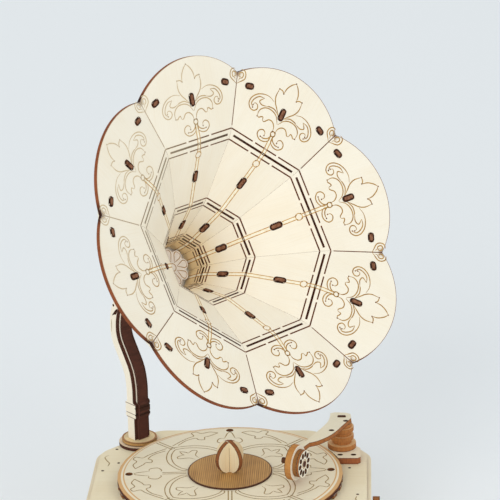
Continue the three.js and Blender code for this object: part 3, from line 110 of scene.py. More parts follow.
CLIP_RADIUS = 86.0
CLIP_SPREAD = 8.31
CLIP_LENGTH = 23.0
CLIP_DEPTH = 5.0
CLIP_GAP = 0.3

# Engraved lines
LINE_WIDTH = 0.62
FINE_LINE = 0.45
THIN_LINE = 0.4
LINE_LIFT = 0.035
LINE_TIP_SHARE = 0.35
CURVE_STEPS = 5


def srgb(red, green, blue):
    """A colour as a picture shows it, from 0 to 255, as the shader wants it."""
    shares = (red / 255, green / 255, blue / 255)
    return (*(c / 12.92 if c <= 0.04045 else ((c + 0.055) / 1.055) ** 2.4 for c in shares), 1.0)


FACE = srgb(251, 241, 221)
FACE_SHADE = srgb(245, 230, 203)
FACE_FLECK = srgb(230, 212, 178)
EDGE = srgb(176, 112, 60)
EDGE_DARK = srgb(96, 55, 30)
CHAR = srgb(60, 33, 20)
ENGRAVED = srgb(190, 146, 76)
LABEL = srgb(206, 160, 96)
POST_BROWN = srgb(92, 51, 39)
THROAT_TAN = srgb(252, 224, 168)
RIM_BROWN = srgb(156, 88, 52)
RIM_DARK = srgb(96, 50, 32)
TENON_BROWN = srgb(150, 104, 78)
ORANGE_EDGE = srgb(204, 146, 80)
ROD_LINE = srgb(214, 170, 96)
ROD_FILL = srgb(255, 247, 226)
PALE_LINE = srgb(178, 150, 104)

# Thickness of a ply, and how far down a cut from the face its darkest brown holds and fades, in millimetres
PLY = 0.95
RIM_BURN = (0.15, 0.5)
# How wide a browned ring fades at its edges
RING_FADE = 0.25
# A leaf's place on its pattern is moved along by this much from leaf to leaf
PATTERN_STEP = 1000.0


class Shade:
    """One output of a shader node. The operators add the Math or Vector Math nodes that they stand for."""

    def __init__(self, tree, output=None):
        self.tree = tree
        self.output = output

    def node(self, kind, values=None, **settings):
        made = self.tree.nodes.new(kind)
        for name, value in settings.items():
            setattr(made, name, value)
        for name, value in (values or {}).items():
            socket = made.inputs[name]
            if isinstance(value, Shade):
                self.tree.links.new(value.output, socket)
            else:
                socket.default_value = value
        return Shade(self.tree, next(o for o in made.outputs if o.enabled))

    def other(self, name):
        return Shade(self.tree, self.output.node.outputs[name])

    def math(self, operation, *values):
        return self.node("ShaderNodeMath", dict(enumerate(values)), operation=operation)

    def __add__(self, value):
        return self.math("ADD", self, value)

    __radd__ = __add__

    def __sub__(self, value):
        return self.math("SUBTRACT", self, value)

    def __rsub__(self, value):
        return self.math("SUBTRACT", value, self)

    def __mul__(self, value):
        return self.math("MULTIPLY", self, value)

    __rmul__ = __mul__

    def __pow__(self, value):
        return self.math("POWER", self, value)

    def __abs__(self):
        return self.math("ABSOLUTE", self)

    def sine(self):
        return self.math("SINE", self)

    def most(self, value):
        return self.math("MAXIMUM", self, value)

    def rise(self, low, high):
        """0 below low, 1 above high and smooth between."""
        return self.node("ShaderNodeMapRange", {"Value": self, "From Min": low, "From Max": high},
                         interpolation_type="SMOOTHSTEP")

    def dot(self, direction):
        product = self.node("ShaderNodeVectorMath", {0: self, 1: tuple(direction)}, operation="DOT_PRODUCT")
        return product.other("Value")

    def vector(self, x, y, z):
        return self.node("ShaderNodeCombineXYZ", {"X": x, "Y": y, "Z": z})

    def noise(self, scale, detail=3.0, roughness=0.5):
        return self.node("ShaderNodeTexNoise",
                         {"Vector": self, "Scale": scale, "Detail": detail, "Roughness": roughness})

    def blend(self, one, two):
        """Colour one where this value is 0 and colour two where it is 1."""
        mix = self.node("ShaderNodeMix", {0: self, 6: one, 7: two}, data_type="RGBA")
        return Shade(self.tree, mix.output.node.outputs[2])

    def bump(self, strength, distance=0.0002):
        """The surface's direction, with this value as its relief."""
        return self.node("ShaderNodeBump", {"Strength": strength, "Distance": distance, "Height": self})


def material(name, paint):
    """A material whose surface paint(start) describes by the values of the surface's sockets."""
    made = bpy.data.materials.new(name)
    made.use_nodes = True
    tree = made.node_tree
    tree.nodes.clear()
    start = Shade(tree)
    surface = start.node("ShaderNodeBsdfPrincipled", paint(start))
    tree.links.new(surface.output, tree.nodes.new("ShaderNodeOutputMaterial").inputs["Surface"])
    return made


def place_on(start):
    """Where the point is on the piece at rest, in millimetres."""
    coordinates = start.node("ShaderNodeTexCoord")
    place = start.node("ShaderNodeVectorMath", {0: coordinates.other("Object"), "Scale": 1 / MM},
                       operation="SCALE")
    return place, coordinates.other("Normal")


def grain_lines(start, along, across, through, fineness=1.0):
    """Fine streaks of birch veneer that run along the first coordinate."""
    streaks = start.vector(along * 0.035, across * 1.9 * fineness, through * 0.4).noise(1.0, 4.0, 0.6)
    fibres = start.vector(along * 0.16, across * 7.0 * fineness, through).noise(1.0, 2.0, 0.5)
    clouds = start.vector(along * 0.03, across * 0.05, through * 0.1).noise(1.0, 2.0, 0.5)
    return streaks, fibres, clouds


def veneer_colour(start, along, across, through, tint=FACE, shade=FACE_SHADE, fleck=FACE_FLECK, fineness=1.0):
    """The veneer's colour, with its relief for the bump."""
    streaks, fibres, clouds = grain_lines(start, along, across, through, fineness)
    base = (streaks.rise(0.42, 0.78) * 0.5 + clouds.rise(0.35, 0.7) * 0.35).blend(tint, shade)
    short = start.vector(along * 0.45, across * 3.2 * fineness, through * 0.8)
    flecks = short.noise(1.0, 1.0, 0.4).rise(0.68, 0.8)
    return (flecks * 0.4).blend(base, fleck), streaks * 0.6 + fibres * 0.4


def burnt_colour(start, run, depth, light=EDGE, dark=EDGE_DARK):
    """The laser's browned cut: fine marks down through the sheet and its plies as faint bands."""
    marks = start.vector(run * 1.6, depth * 0.15, 0.0).noise(1.0, 3.0, 0.6)
    patches = start.vector(run * 0.12, depth * 0.1, 3.0).noise(1.0, 2.0, 0.5)
    bands = (depth * (2 * math.pi / PLY)).sine() * 0.5 + 0.5
    browned = marks.rise(0.35, 0.75) * 0.35 + patches.rise(0.35, 0.75) * 0.35 + bands * 0.22
    return browned.blend(light, dark), marks


def cut_sheet(name, normal, grain, tint=FACE, shade=FACE_SHADE, fleck=FACE_FLECK,
              edge=EDGE, edge_dark=EDGE_DARK, low=0.0, high=None, fineness=1.0,
              burns=None, burn_colour=CHAR, edge_burns=None):
    """Plywood sheet: pale veneer on both faces and browned cuts round its edges, darker next to the faces.

    burns(place) gives how much the laser has browned the face at a place, from 0 to 1, and edge_burns
    how black the cut is there. low and high are the depths of the two faces.
    """
    normal = Vector(normal).normalized()
    grain = Vector(grain)
    grain = (grain - normal * grain.dot(normal)).normalized()
    side = normal.cross(grain)

    def paint(start):
        place, surface_normal = place_on(start)
        along, across, through = place.dot(grain), place.dot(side), place.dot(normal)
        face = abs(surface_normal.dot(normal)).rise(0.8, 0.92)
        veneer, relief = veneer_colour(start, along, across, through, tint, shade, fleck, fineness)
        if burns:
            veneer = burns(place).blend(veneer, burn_colour)
        burnt, marks = burnt_colour(start, along + across, through - low, edge, edge_dark)
        if high is not None:
            rims = (1 - (through - low).rise(*RIM_BURN)).most(1 - (high - through).rise(*RIM_BURN))
            burnt = (rims * 0.7).blend(burnt, CHAR)
        if edge_burns:
            burnt = edge_burns(place).blend(burnt, CHAR)
        height = face * relief + (1 - face) * marks
        return {"Base Color": face.blend(burnt, veneer), "Roughness": 0.82 - face * 0.18 + relief * 0.08,
                "Normal": height.bump(0.18), "Specular IOR Level": 0.3}

    return material(name, paint)


def distance_from_line(place, point, direction):
    """How far a place lies from the line through a point."""
    offset = place.node("ShaderNodeVectorMath", {0: place, 1: tuple(point)}, operation="SUBTRACT")
    cross = place.node("ShaderNodeVectorMath", {0: offset, 1: tuple(direction)}, operation="CROSS_PRODUCT")
    return place.node("ShaderNodeVectorMath", {0: cross}, operation="LENGTH").other("Value")


def distance_from(place, x, y):
    """How far a place lies from an upright axis."""
    return ((place.dot(X_AXIS) - x) ** 2.0 + (place.dot(Y_AXIS) - y) ** 2.0) ** 0.5


def ring_burns(x, y, rings):
    """Browned rings round an upright axis, each from its inner to its outer radius."""
    def burns(place):
        distance = distance_from(place, x, y)
        shares = [distance.rise(low - RING_FADE, low) * (1 - distance.rise(high, high + RING_FADE))
                  for low, high in rings]
        whole = shares[0]
        for share in shares[1:]:
            whole = whole.most(share)
        return whole * 0.9
    return burns


def on_pattern(start):
    """Where the point is on its leaf's flat pattern, along and across, and how far along all leaves."""
    flat = start.node("ShaderNodeUVMap", uv_map="flat")
    parts = start.node("ShaderNodeSeparateXYZ", {0: flat})
    run, across = parts.other("X") * 100.0, parts.other("Y") * 100.0
    return run.math("MODULO", run, PATTERN_STEP), across, run


def notch_distance(along, across):
    return ((along - NOTCH_S) ** 2.0 + (abs(across) - NOTCH_HALF) ** 2.0) ** 0.5


def leaf_sheet():
    """The horn's sheet. Its grain follows the flat pattern, and it is browner at throat and notches."""
    def paint(start):
        along, across, run = on_pattern(start)
        veneer, relief = veneer_colour(start, run, across + run * 0.061, run * 0.0)
        warm = (1 - along.rise(4.0, 30.0)) * 0.8
        scorch = (1 - notch_distance(along, across).rise(0.6, 3.4)) * 0.75
        veneer = warm.blend(veneer, THROAT_TAN)
        veneer = scorch.blend(veneer, EDGE_DARK)
        return {"Base Color": veneer, "Roughness": 0.62 + relief * 0.1, "Normal": relief.bump(0.18),
                "Specular IOR Level": 0.3}
    return material("leaf_veneer", paint)


def leaf_cut():
    """The browned cut round a leaf, near black at the notches."""
    def paint(start):
        along, across, run = on_pattern(start)
        place, _ = place_on(start)
        burnt, marks = burnt_colour(start, run + across, place.dot((0.6, -0.6, 0.5)), RIM_BROWN, RIM_DARK)
        burnt = (1 - notch_distance(along, across).rise(1.5, 8.0)).blend(burnt, CHAR)
        return {"Base Color": burnt, "Roughness": 0.85, "Normal": marks.bump(0.15), "Specular IOR Level": 0.2}
    return material("leaf_cut", paint)


def line_burn(name, light, dark, faint=0.0):
    """An engraved line, golden brown and uneven as the laser leaves it. faint pales it on the left leaves."""
    def paint(start):
        place, _ = place_on(start)
        uneven = place.noise(0.55, 3.0, 0.6)
        colour = uneven.rise(0.35, 0.7).blend(light, dark)
        if faint:
            left = 1 - (place.dot(X_AXIS) - place.dot(Z_AXIS) * 0.4).rise(-150.0, -80.0)
            colour = (left * faint).blend(colour, FACE_FLECK)
        return {"Base Color": colour, "Roughness": 0.9, "Specular IOR Level": 0.1}
    return material(name, paint)


def metal(name, colour, roughness):
    def paint(start):
        place, _ = place_on(start)
        brushed = place.noise(1.4, 4.0, 0.6)
        return {"Base Color": colour, "Metallic": 1.0, "Roughness": roughness + brushed * 0.12,
                "Normal": brushed.bump(0.08, 0.0001)}
    return material(name, paint)


# Meshes

def mesh_piece(name, points, faces, materials, indices=None, flat=None):
    """A mesh from points in millimetres. flat holds a pair of pattern coordinates for each point."""
    mesh = bpy.data.meshes.new(name)
    mesh.from_pydata([Vector(p) * MM for p in points], [], faces)
    for one in materials:
        mesh.materials.append(one)
    if indices:
        mesh.polygons.foreach_set("material_index", indices)
    if flat:
        layer = mesh.uv_layers.new(name="flat")
        for loop in mesh.loops:
            s, t = flat[loop.vertex_index]
            layer.data[loop.index].uv = (s / 100, t / 100)
    mesh.validate()
    piece = bpy.data.objects.new(name, mesh)
    bpy.context.scene.collection.objects.link(piece)
    return piece


def curve_through(points, closed=False, steps=CURVE_STEPS):
    """A smooth row of points that passes through the given ones."""
    points = [Vector(p) for p in points]
    count = len(points)
    if count < 3:
        return points
    row = []
    for i in range(count if closed else count - 1):
        if closed:
            before, here, there, after = (points[(i + k) % count] for k in (-1, 0, 1, 2))
        else:
            here, there = points[i], points[i + 1]
            before = points[i - 1] if i else here * 2 - there
            after = points[i + 2] if i + 2 < count else there * 2 - here
        for k in range(steps):
            x = k / steps
            bend = 2 * before - 5 * here + 4 * there - after
            twist = 3 * here - before - 3 * there + after
            row.append(0.5 * (2 * here + (there - before) * x + bend * x * x + twist * x ** 3))
    if not closed:
        row.append(points[-1])
    return row


def turned_step(length, slope):
    return Vector((length * math.cos(slope), length * math.sin(slope)))


class Engraving:
    """Thin ribbons and patches laid on surfaces, which a function maps from flat coordinates to the piece."""

    def __init__(self, surface=None):
        self.surface = surface
        self.points = []
        self.faces = []

    def strip(self, pairs, closed=False):
        first = len(self.points)
        for one, other in pairs:
            self.points.append(self.surface(one))
            self.points.append(self.surface(other))
        for i in range(len(pairs) if closed else len(pairs) - 1):
            a, b = first + 2 * i, first + 2 * ((i + 1) % len(pairs))
            self.faces.append((a, b, b + 1, a + 1))

    def line(self, points, width=LINE_WIDTH, closed=False, taper=True, smooth=True):
        row = curve_through(points, closed) if smooth else [Vector(p) for p in points]
        count = len(row)
        pairs = []
        for i, point in enumerate(row):
            if closed:
                ahead, back = row[(i + 1) % count], row[i - 1]
            else:
                ahead, back = row[min(i + 1, count - 1)], row[max(i - 1, 0)]
            direction = (ahead - back).normalized()
            share = 1.0
            if taper and not closed:
                inward = min(1.0, 4 * min(i, count - 1 - i) / (count - 1))
                share = LINE_TIP_SHARE + (1 - LINE_TIP_SHARE) * inward
            side = Vector((-direction.y, direction.x)) * width * share / 2
            pairs.append((point - side, point + side))
        self.strip(pairs, closed)

    def long_line(self, start, end, width, step=1.0):
        """A straight line in short steps, so that it follows a bent sheet."""
        start, end = Vector(start), Vector(end)
        steps = max(1, math.ceil((end - start).length / step))
        self.line([start.lerp(end, i / steps) for i in range(steps + 1)], width, taper=False, smooth=False)

    def patch(self, outline):
        first = len(self.points)
        self.points += [self.surface(Vector(p)) for p in outline]
        self.faces.append(tuple(range(first, first + len(outline))))

    def frame(self, outer, inner):
        """The flat band between two outlines of as many points."""
        self.strip([(Vector(a), Vector(b)) for a, b in zip(outer, inner)], closed=True)

    def dot(self, centre, radius, steps=12):
        self.patch([Vector(centre) + turned_step(radius, 2 * math.pi * i / steps) for i in range(steps)])

    def circle(self, centre, radius, width=LINE_WIDTH, steps=24):
        row = [Vector(centre) + turned_step(radius, 2 * math.pi * i / steps) for i in range(steps)]
        self.line(row, width, closed=True, smooth=False)

    def piece(self, name, paint, body, slot):
        made = mesh_piece(name, self.points, self.faces, [paint])
        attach(made, body)
        return made


# Horn leaves: s runs along the inner face from the throat and t across it

def apothem(corner):
    radius, height = corner
    return Vector((radius * math.cos(HALF_SECTOR), height))


CORNERS = [apothem(c) for c in (THROAT_EDGE, THROAT_FOLD, BELL_FOLD, RIM_FOLD, NOTCH)]
LEGS = [b - a for a, b in zip(CORNERS, CORNERS[1:])]
SLOPES = [math.atan2(leg.y, leg.x) for leg in LEGS]


def leaf_stretches():
    """The straight and bent stretches of a leaf: start s, length, start point, start slope and whole turn."""
    rows = []
    s = 0.0
    used = 0.0
    for i, leg in enumerate(LEGS):
        if i == len(LEGS) - 1:
            length = leg.length - used + PETAL_RISE
            rows.append((s, length, CORNERS[i] + turned_step(used, SLOPES[i]), SLOPES[i], 0.0))
            continue
        turn = SLOPES[i] - SLOPES[i + 1]
        bend = FOLD_ROWS[i] * FOLD_PITCHES[i]
        reach = bend / turn * math.tan(turn / 2)
        length = leg.length - used - reach
        rows.append((s, length, CORNERS[i] + turned_step(used, SLOPES[i]), SLOPES[i], 0.0))
        s += length
        rows.append((s, bend, CORNERS[i + 1] - turned_step(reach, SLOPES[i]), SLOPES[i], turn))
        s += bend
        used = reach
    return rows


STRETCHES = leaf_stretches()
FOLD_STARTS = [row[0] for row in STRETCHES[1::2]]
LEG_STARTS = [row[0] for row in STRETCHES[0::2]]
LEAF_LENGTH = STRETCHES[-1][0] + STRETCHES[-1][1]


def leaf_section(s):
    """The point of the leaf's middle line at s and the slope there."""
    s = max(0.0, min(s, LEAF_LENGTH))
    start, length, point, slope, turn = next(r for r in reversed(STRETCHES) if s >= r[0] - 1e-9)
    run = s - start
    if not turn:
        return point + turned_step(run, slope), slope
    angle = turn * run / length
    chord = 2 * length / turn * math.sin(angle / 2)
    return point + turned_step(chord, slope - angle / 2), slope - angle


def on_leg(leg, distance):
    """The s of a place that lies this far along a leg from its own fold's corner."""
    used = 0.0
    if leg:
        turn = SLOPES[leg - 1] - SLOPES[leg]
        used = FOLD_ROWS[leg - 1] * FOLD_PITCHES[leg - 1] / turn * math.tan(turn / 2)
    return LEG_STARTS[leg] + distance - used


NOTCH_S = on_leg(3, LEGS[3].length)
NOTCH_HALF = NOTCH[0] * math.sin(HALF_SECTOR) - SEAM_GAP / 2


def leaf_half(s):
    point, _ = leaf_section(s)
    return min(point.x * math.tan(HALF_SECTOR) - SEAM_GAP / 2, NOTCH_HALF)


HORN_PLACE = (
    Matrix.Translation((FOOT_X, FOOT_Y, 0))
    @ Matrix.Rotation(POST_TURN, 4, "Z")
    @ Matrix.Translation((HORN_REACH, 0, PLATTER_TOP + HORN_HEIGHT))
    @ Matrix(((0, -math.sin(HORN_TILT), math.cos(HORN_TILT), 0), (1, 0, 0, 0),
              (0, math.cos(HORN_TILT), math.sin(HORN_TILT), 0), (0, 0, 0, 1)))
)


def leaf_place(k):
    return HORN_PLACE @ Matrix.Rotation(math.pi / 2 + HORN_TURN - k * SECTOR, 4, "Z")


def on_leaf(k, s, t, depth=0.0):
    """A point of leaf k; depth is how far behind its inner face the point lies."""
    point, slope = leaf_section(s)
    back = Vector((math.sin(slope), -math.cos(slope))) * depth
    mitre = 1 + back.x / point.x
    return leaf_place(k) @ Vector((point.x + back.x, t * mitre, point.y + back.y))


def petal_arc(inset=0.0, steps=48):
    """The round end of a petal, from its side of higher t to the lower."""
    radius = (NOTCH_HALF ** 2 + PETAL_RISE ** 2) / (2 * PETAL_RISE)
    centre = NOTCH_S + PETAL_RISE - radius
    start = math.asin(NOTCH_HALF / radius)
    return [(centre + (radius - inset) * math.cos(start - 2 * start * i / steps),
             (radius - inset) * math.sin(start - 2 * start * i / steps)) for i in range(1, steps)]


def leaf_outline():
    """The flat outline of a leaf, anticlockwise, with the round end of the petal."""
    stations = []
    for start, length, _, _, turn in STRETCHES[:-1]:
        steps = 6 if turn else 1
        stations += [start + length * i / steps for i in range(steps)]
    stations += [STRETCHES[-1][0], NOTCH_S]
    side = [(s, leaf_half(s)) for s in stations]
    return [(s, -t) for s, t in side + petal_arc()] + side[::-1]


def rounded_slot(centre, length, width, turn=0.0, corner=SLOT_CORNER):
    """A rectangle with round corners; its length runs along s before the turn."""
    points = []
    for sx, sy, start in ((1, 1, 0), (-1, 1, 90), (-1, -1, 180), (1, -1, 270)):
        for step in (0, 45, 90):
            angle = math.radians(start + step)
            x = sx * (length / 2 - corner) + corner * math.cos(angle)
            y = sy * (width / 2 - corner) + corner * math.sin(angle)
            points.append((centre[0] + x * math.cos(turn) - y * math.sin(turn),
                           centre[1] + x * math.sin(turn) + y * math.cos(turn)))
    return points


def slit_rows():
    """Every slit: its place along the leaf, its two ends across it and whether its row is the middle one."""
    slits = []
    for fold, rows in enumerate(FOLD_ROWS):
        for row in range(rows):
            s = FOLD_STARTS[fold] + (row + 0.5) * FOLD_PITCHES[fold]
            from_middle = row - (rows - 1) // 2
            whole = from_middle % 2 == 0
            count = 1 if whole else FOLD_DASHES[fold]
            reach = leaf_half(s) - (SLIT_ENDS[fold] if whole else DASH_END)
            pitch = (2 * reach + DASH_GAPS[fold]) / count
            half = (pitch - DASH_GAPS[fold]) / 2
            for i in range(count):
                middle = (i - (count - 1) / 2) * pitch
                slits.append((s, middle - half, middle + half, from_middle == 0))
    return slits


def slit_outline(slit, margin=0.0):
    s, low, high, _ = slit
    w = SLIT_WIDTH / 2 + margin
    return [(s - w, low - margin), (s + w, low - margin), (s + w, high + margin), (s - w, high + margin)]


def tenon_places():
    return [on_leg(1, THROAT_TENON), on_leg(2, BELL_TENON), on_leg(3, PETAL_TENON)]


def clip_places():
    """Where the clips' tenons come through a petal: the place and the turn of each."""
    fold_s = on_leg(3, 0.0)
    fold_t = RIM_FOLD[0] * math.sin(HALF_SECTOR)
    notch_t = NOTCH[0] * math.sin(HALF_SECTOR)
    seam = Vector((NOTCH_S - fold_s, notch_t - fold_t))
    share = (CLIP_RADIUS - RIM_FOLD[0]) / (NOTCH[0] - RIM_FOLD[0])
    place = Vector((fold_s, fold_t)) + seam * share
    inward = Vector((seam.y, -seam.x)).normalized()
    centre = place + inward * CLIP_SPREAD
    turn = math.atan2(inward.y, inward.x)
    return [((centre.x, centre.y), turn), ((centre.x, -centre.y), -turn)]


def pattern_solid(outline, holes, thickness, stations):
    """The flat sheet as a bmesh, cut at each station so that it can bend there."""
    work = bmesh.new()
    for loop in [outline, *holes]:
        corners = [work.verts.new((s, t, 0)) for s, t in loop]
        for i, corner in enumerate(corners):
            work.edges.new((corner, corners[(i + 1) % len(corners)]))
    bmesh.ops.triangle_fill(work, use_beauty=True, edges=work.edges[:])
    bmesh.ops.dissolve_limit(work, angle_limit=0.01, verts=work.verts[:], edges=work.edges[:], delimit=set())
    for station in stations:
        bmesh.ops.bisect_plane(work, geom=work.verts[:] + work.edges[:] + work.faces[:], dist=1e-5,
                               plane_co=(station, 0, 0), plane_no=(1, 0, 0))
    bmesh.ops.triangulate(work, faces=work.faces[:])
    for face in work.faces:
        if face.normal.z < 0:
            face.normal_flip()
    top = bmesh.ops.extrude_face_region(work, geom=work.faces[:])
    moved = [v for v in top["geom"] if isinstance(v, bmesh.types.BMVert)]
    bmesh.ops.translate(work, vec=(0, 0, thickness), verts=moved)
    bmesh.ops.recalc_face_normals(work, faces=work.faces[:])
    return work


def leaf_stations():
    stations = []
    for start, length, _, _, turn in STRETCHES:
        if turn:
            steps = math.ceil(length)
            stations += [start + length * i / steps for i in range(steps + 1)]
    return stations


def tenon_ends():
    """The place, length and turn of every tenon that comes through a leaf."""
    return [((s, 0.0), TENON_LENGTH, 0.0) for s in tenon_places()] + [
        (centre, CLIP_TENON, turn) for centre, turn in clip_places()]


def leaf_pattern():
    slots = [rounded_slot(centre, length + 2 * SLOT_CLEARANCE, RIB_SHEET + 2 * SLOT_CLEARANCE, turn)
             for centre, length, turn in tenon_ends()]
    slits = [slit_outline(slit) for slit in slit_rows()]
    return pattern_solid(leaf_outline(), slits + slots, SHEET, leaf_stations())


def in_cutout(s, t):
    """Whether a cut's face lies in one of the leaf's slits or slots, not on its outline."""
    for place, low, high, _ in slit_rows():
        if abs(s - place) < SLIT_WIDTH and low - SLIT_WIDTH / 2 < t < high + SLIT_WIDTH / 2:
            return True
    return any((Vector((s, t)) - Vector(centre)).length < length for centre, length, _ in tenon_ends())


def horn_leaves(veneer, cut, char):
    pattern = leaf_pattern()
    pattern.verts.ensure_lookup_table()
    flat = [(v.co.x, v.co.y) for v in pattern.verts]
    depths = [v.co.z for v in pattern.verts]
    faces = [[v.index for v in f.verts] for f in pattern.faces]
    indices = []
    for f in pattern.faces:
        middle = f.calc_center_median()
        indices.append(0 if abs(f.normal.z) > 0.5 else 2 if in_cutout(middle.x, middle.y) else 1)
    pattern.free()
    for k in range(HORN_LEAVES):
        points = [on_leaf(k, s, t, depth) for (s, t), depth in zip(flat, depths)]
        shifted = [(s + PATTERN_STEP * k, t) for s, t in flat]
        leaf = mesh_piece(f"leaf_{k + 1}", points, faces, [veneer, cut, char], indices, shifted)
        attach(leaf, "horn")
        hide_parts(f"horn_leaf_{k + 1}")


def horn_clips():
    """The plates behind the seams, whose two tenons hold neighbouring petals."""
    slope = math.atan2(-RIM_FOLD[1], NOTCH[0] - RIM_FOLD[0])
    rise = math.tan(SLOPES[3]) * math.sin(HALF_SECTOR) * math.cos(slope)
    gap = SHEET + CLIP_GAP

    def front(y, depth):
        return (y, abs(y) * rise - depth)

    half = CLIP_TENON / 2
    end = CLIP_LENGTH / 2
    corners = [front(-end, gap)]
    for side in (-1, 1):
        low, high = side * CLIP_SPREAD - half, side * CLIP_SPREAD + half
        corners += [front(low, gap), front(low, -TENON_PROUD), front(high, -TENON_PROUD), front(high, gap)]
        if side < 0:
            corners.append(front(0, gap))
    corners += [front(end, gap), (end, -gap - CLIP_DEPTH / 2), (end - CLIP_DEPTH / 2, -gap - CLIP_DEPTH),
                (CLIP_DEPTH / 2 - end, -gap - CLIP_DEPTH), (-end, -gap - CLIP_DEPTH / 2)]
    seam = Vector((CLIP_RADIUS, (CLIP_RADIUS - NOTCH[0]) * math.tan(slope)))
    count = len(corners)
    for k in range(HORN_LEAVES):
        place = (leaf_place(k) @ Matrix.Rotation(-HALF_SECTOR, 4, "Z")
                 @ Matrix.Translation((seam.x, 0, seam.y)) @ Matrix.Rotation(-slope, 4, "Y"))
        points = [place @ Vector((x, y, z)) for x in (-RIB_SHEET / 2, RIB_SHEET / 2) for y, z in corners]
        faces = [tuple(range(count - 1, -1, -1)), tuple(range(count, 2 * count))]
        faces += [(i, (i + 1) % count, count + (i + 1) % count, count + i) for i in range(count)]
        turn = place.to_3x3()
        paint = cut_sheet(f"clip_{k + 1}_sheet", turn @ X_AXIS, turn @ Y_AXIS, **RIB)
        clip = mesh_piece(f"clip_{k + 1}", points, faces, [paint])
        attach(clip, "horn")


# Engraving of the horn

LILY_SIDE = [(20.2, 1.9), (23.1, 4.5), (25.8, 6.9), (29.2, 8.2), (33.7, 8.0)]
LILY_SHOULDER = [(33.7, 8.0), (33.5, 5.8), (32.4, 4.5)]
LILY_TIP = [(32.4, 4.5), (35.9, 4.0), (39.1, 2.2), (41.2, 0.0)]
LEAF_BACK = [(15.5, 0.2), (19.0, 2.6), (20.6, 5.9), (20.5, 9.8), (19.0, 12.3), (16.7, 13.6),
             (13.7, 13.4)]
LEAF_LOBE = [(13.7, 13.4), (13.5, 12.1), (14.3, 11.2), (14.8, 9.9), (13.0, 9.3)]
LEAF_FRONT = [(13.0, 9.3), (13.0, 8.0), (15.3, 6.0), (15.3, 3.4), (13.3, 1.4), (10.8, 0.9)]
LEAF_VEIN = [(20.1, 2.0), (22.0, 5.5), (21.8, 8.9), (21.2, 10.4)]
SCROLL_OUTER = [(25.6, 7.7), (26.7, 11.4), (26.2, 15.2), (24.2, 18.9), (20.9, 21.2), (17.5, 21.2),
                (15.3, 19.1), (15.3, 16.6), (17.1, 15.2), (19.0, 16.0), (19.3, 17.9), (17.8, 18.5)]
SCROLL_INNER = [(16.5, 18.1), (18.2, 19.8), (21.0, 19.3), (23.7, 17.1), (24.4, 13.8)]
SCROLL_LEAF = [(24.4, 13.8), (21.6, 15.8), (20.4, 13.6), (21.2, 10.4)]
FOOT_SCROLL_OUTER = [(7.9, 0.5), (5.0, 0.8), (3.2, 3.3), (3.1, 6.4), (5.1, 8.7), (7.5, 8.5), (8.8, 6.5),
                     (7.9, 4.7), (6.2, 4.5)]
FOOT_SCROLL_INNER = [(8.1, 0.6), (5.9, 1.8), (4.7, 4.1), (4.8, 6.4)]
PETAL_STROKES = [LILY_SIDE, LILY_SHOULDER, LILY_TIP, LEAF_BACK, LEAF_LOBE, LEAF_FRONT, LEAF_VEIN,
                 SCROLL_OUTER, SCROLL_INNER, SCROLL_LEAF, FOOT_SCROLL_OUTER, FOOT_SCROLL_INNER]
PETAL_ENDS = [(41.2, 0.0), (33.7, 8.0), (32.4, 4.5), (13.7, 13.4), (17.8, 18.5), (16.5, 18.1), (10.8, 0.9),
              (6.2, 4.5), (4.8, 6.4)]
HEART_OUTER = [(25.9, 32.9), (27.5, 31.8), (28.8, 30.7), (30.5, 29.7), (32.6, 30.0), (34.2, 31.3),
               (34.5, 32.9), (34.0, 34.0)]
HEART_INNER = [(27.9, 32.7), (29.3, 32.6), (30.4, 31.4), (32.1, 31.4), (32.9, 32.4), (32.2, 33.7),
               (30.7, 33.9), (30.0, 33.1), (30.8, 32.4)]
STROKE_END = 0.42
LINE_SPREAD = 0.95
ROD_WIDTH = 0.48
ROD_START = 0.4
NODE_PLACE = 9.5
NODE_RADIUS = 1.45
PANEL_NODE_PLACE = 2.2
PANEL_NODE_RADIUS = 1.9
SEAM_LINE = 0.24


def both_sides(points):
    return [points, [(s, -t) for s, t in points]]


def on_petal(distance, across):
    """The flat place that lies this far from the petal's lowest slits."""
    return on_leg(3, distance + FOLD_PITCHES[2]), across


def rod_runs():
    """Where the lines of a leaf's middle run: from throat to petal, broken by tenons and nodes."""
    half = TENON_LENGTH / 2 + SLOT_CLEARANCE + SLOT_BURN
    throat, bell, _ = tenon_places()
    node = FOLD_STARTS[2] - PANEL_NODE_PLACE
    ends = [ROD_START, throat - half, throat + half, bell - half, bell + half, node - PANEL_NODE_RADIUS,
            node + PANEL_NODE_RADIUS, on_petal(NODE_PLACE, 0.0)[0] - NODE_RADIUS]
    return zip(ends[::2], ends[1::2])


def engrave_petal(lines, dots):
    """A petal's lily, its scrolls and its halves of the hearts, with a dot where a stroke ends."""
    for stroke in PETAL_STROKES:
        for points in both_sides(stroke):
            lines.line([on_petal(d, t) for d, t in points])
    for stroke in (HEART_OUTER, HEART_INNER):
        for points in both_sides(stroke):
            lines.line([(on_leg(3, d), t) for d, t in points])
    for end in PETAL_ENDS:
        for place in {end, (end[0], -end[1])}:
            dots.dot(on_petal(*place), STROKE_END)
    for node, radius in ((on_petal(NODE_PLACE, 0.0), NODE_RADIUS),
                         ((FOLD_STARTS[2] - PANEL_NODE_PLACE, 0.0), PANEL_NODE_RADIUS)):
        for i in range(4):
            lines.dot(Vector(node) + turned_step(radius, math.radians(45 + 90 * i)), STROKE_END)
    lines.circle(on_petal(NODE_PLACE, 0.0), NODE_RADIUS)


def engrave_rod(work, fills):
    """The band along a leaf's middle between its two lines."""
    for low, high in rod_runs():
        fills.long_line((low, 0.0), (high, 0.0), 2 * LINE_SPREAD)
        for side in (-1, 1):
            work.long_line((low, side * LINE_SPREAD), (high, side * LINE_SPREAD), ROD_WIDTH)
    work.circle((FOLD_STARTS[2] - PANEL_NODE_PLACE, 0.0), PANEL_NODE_RADIUS, ROD_WIDTH)


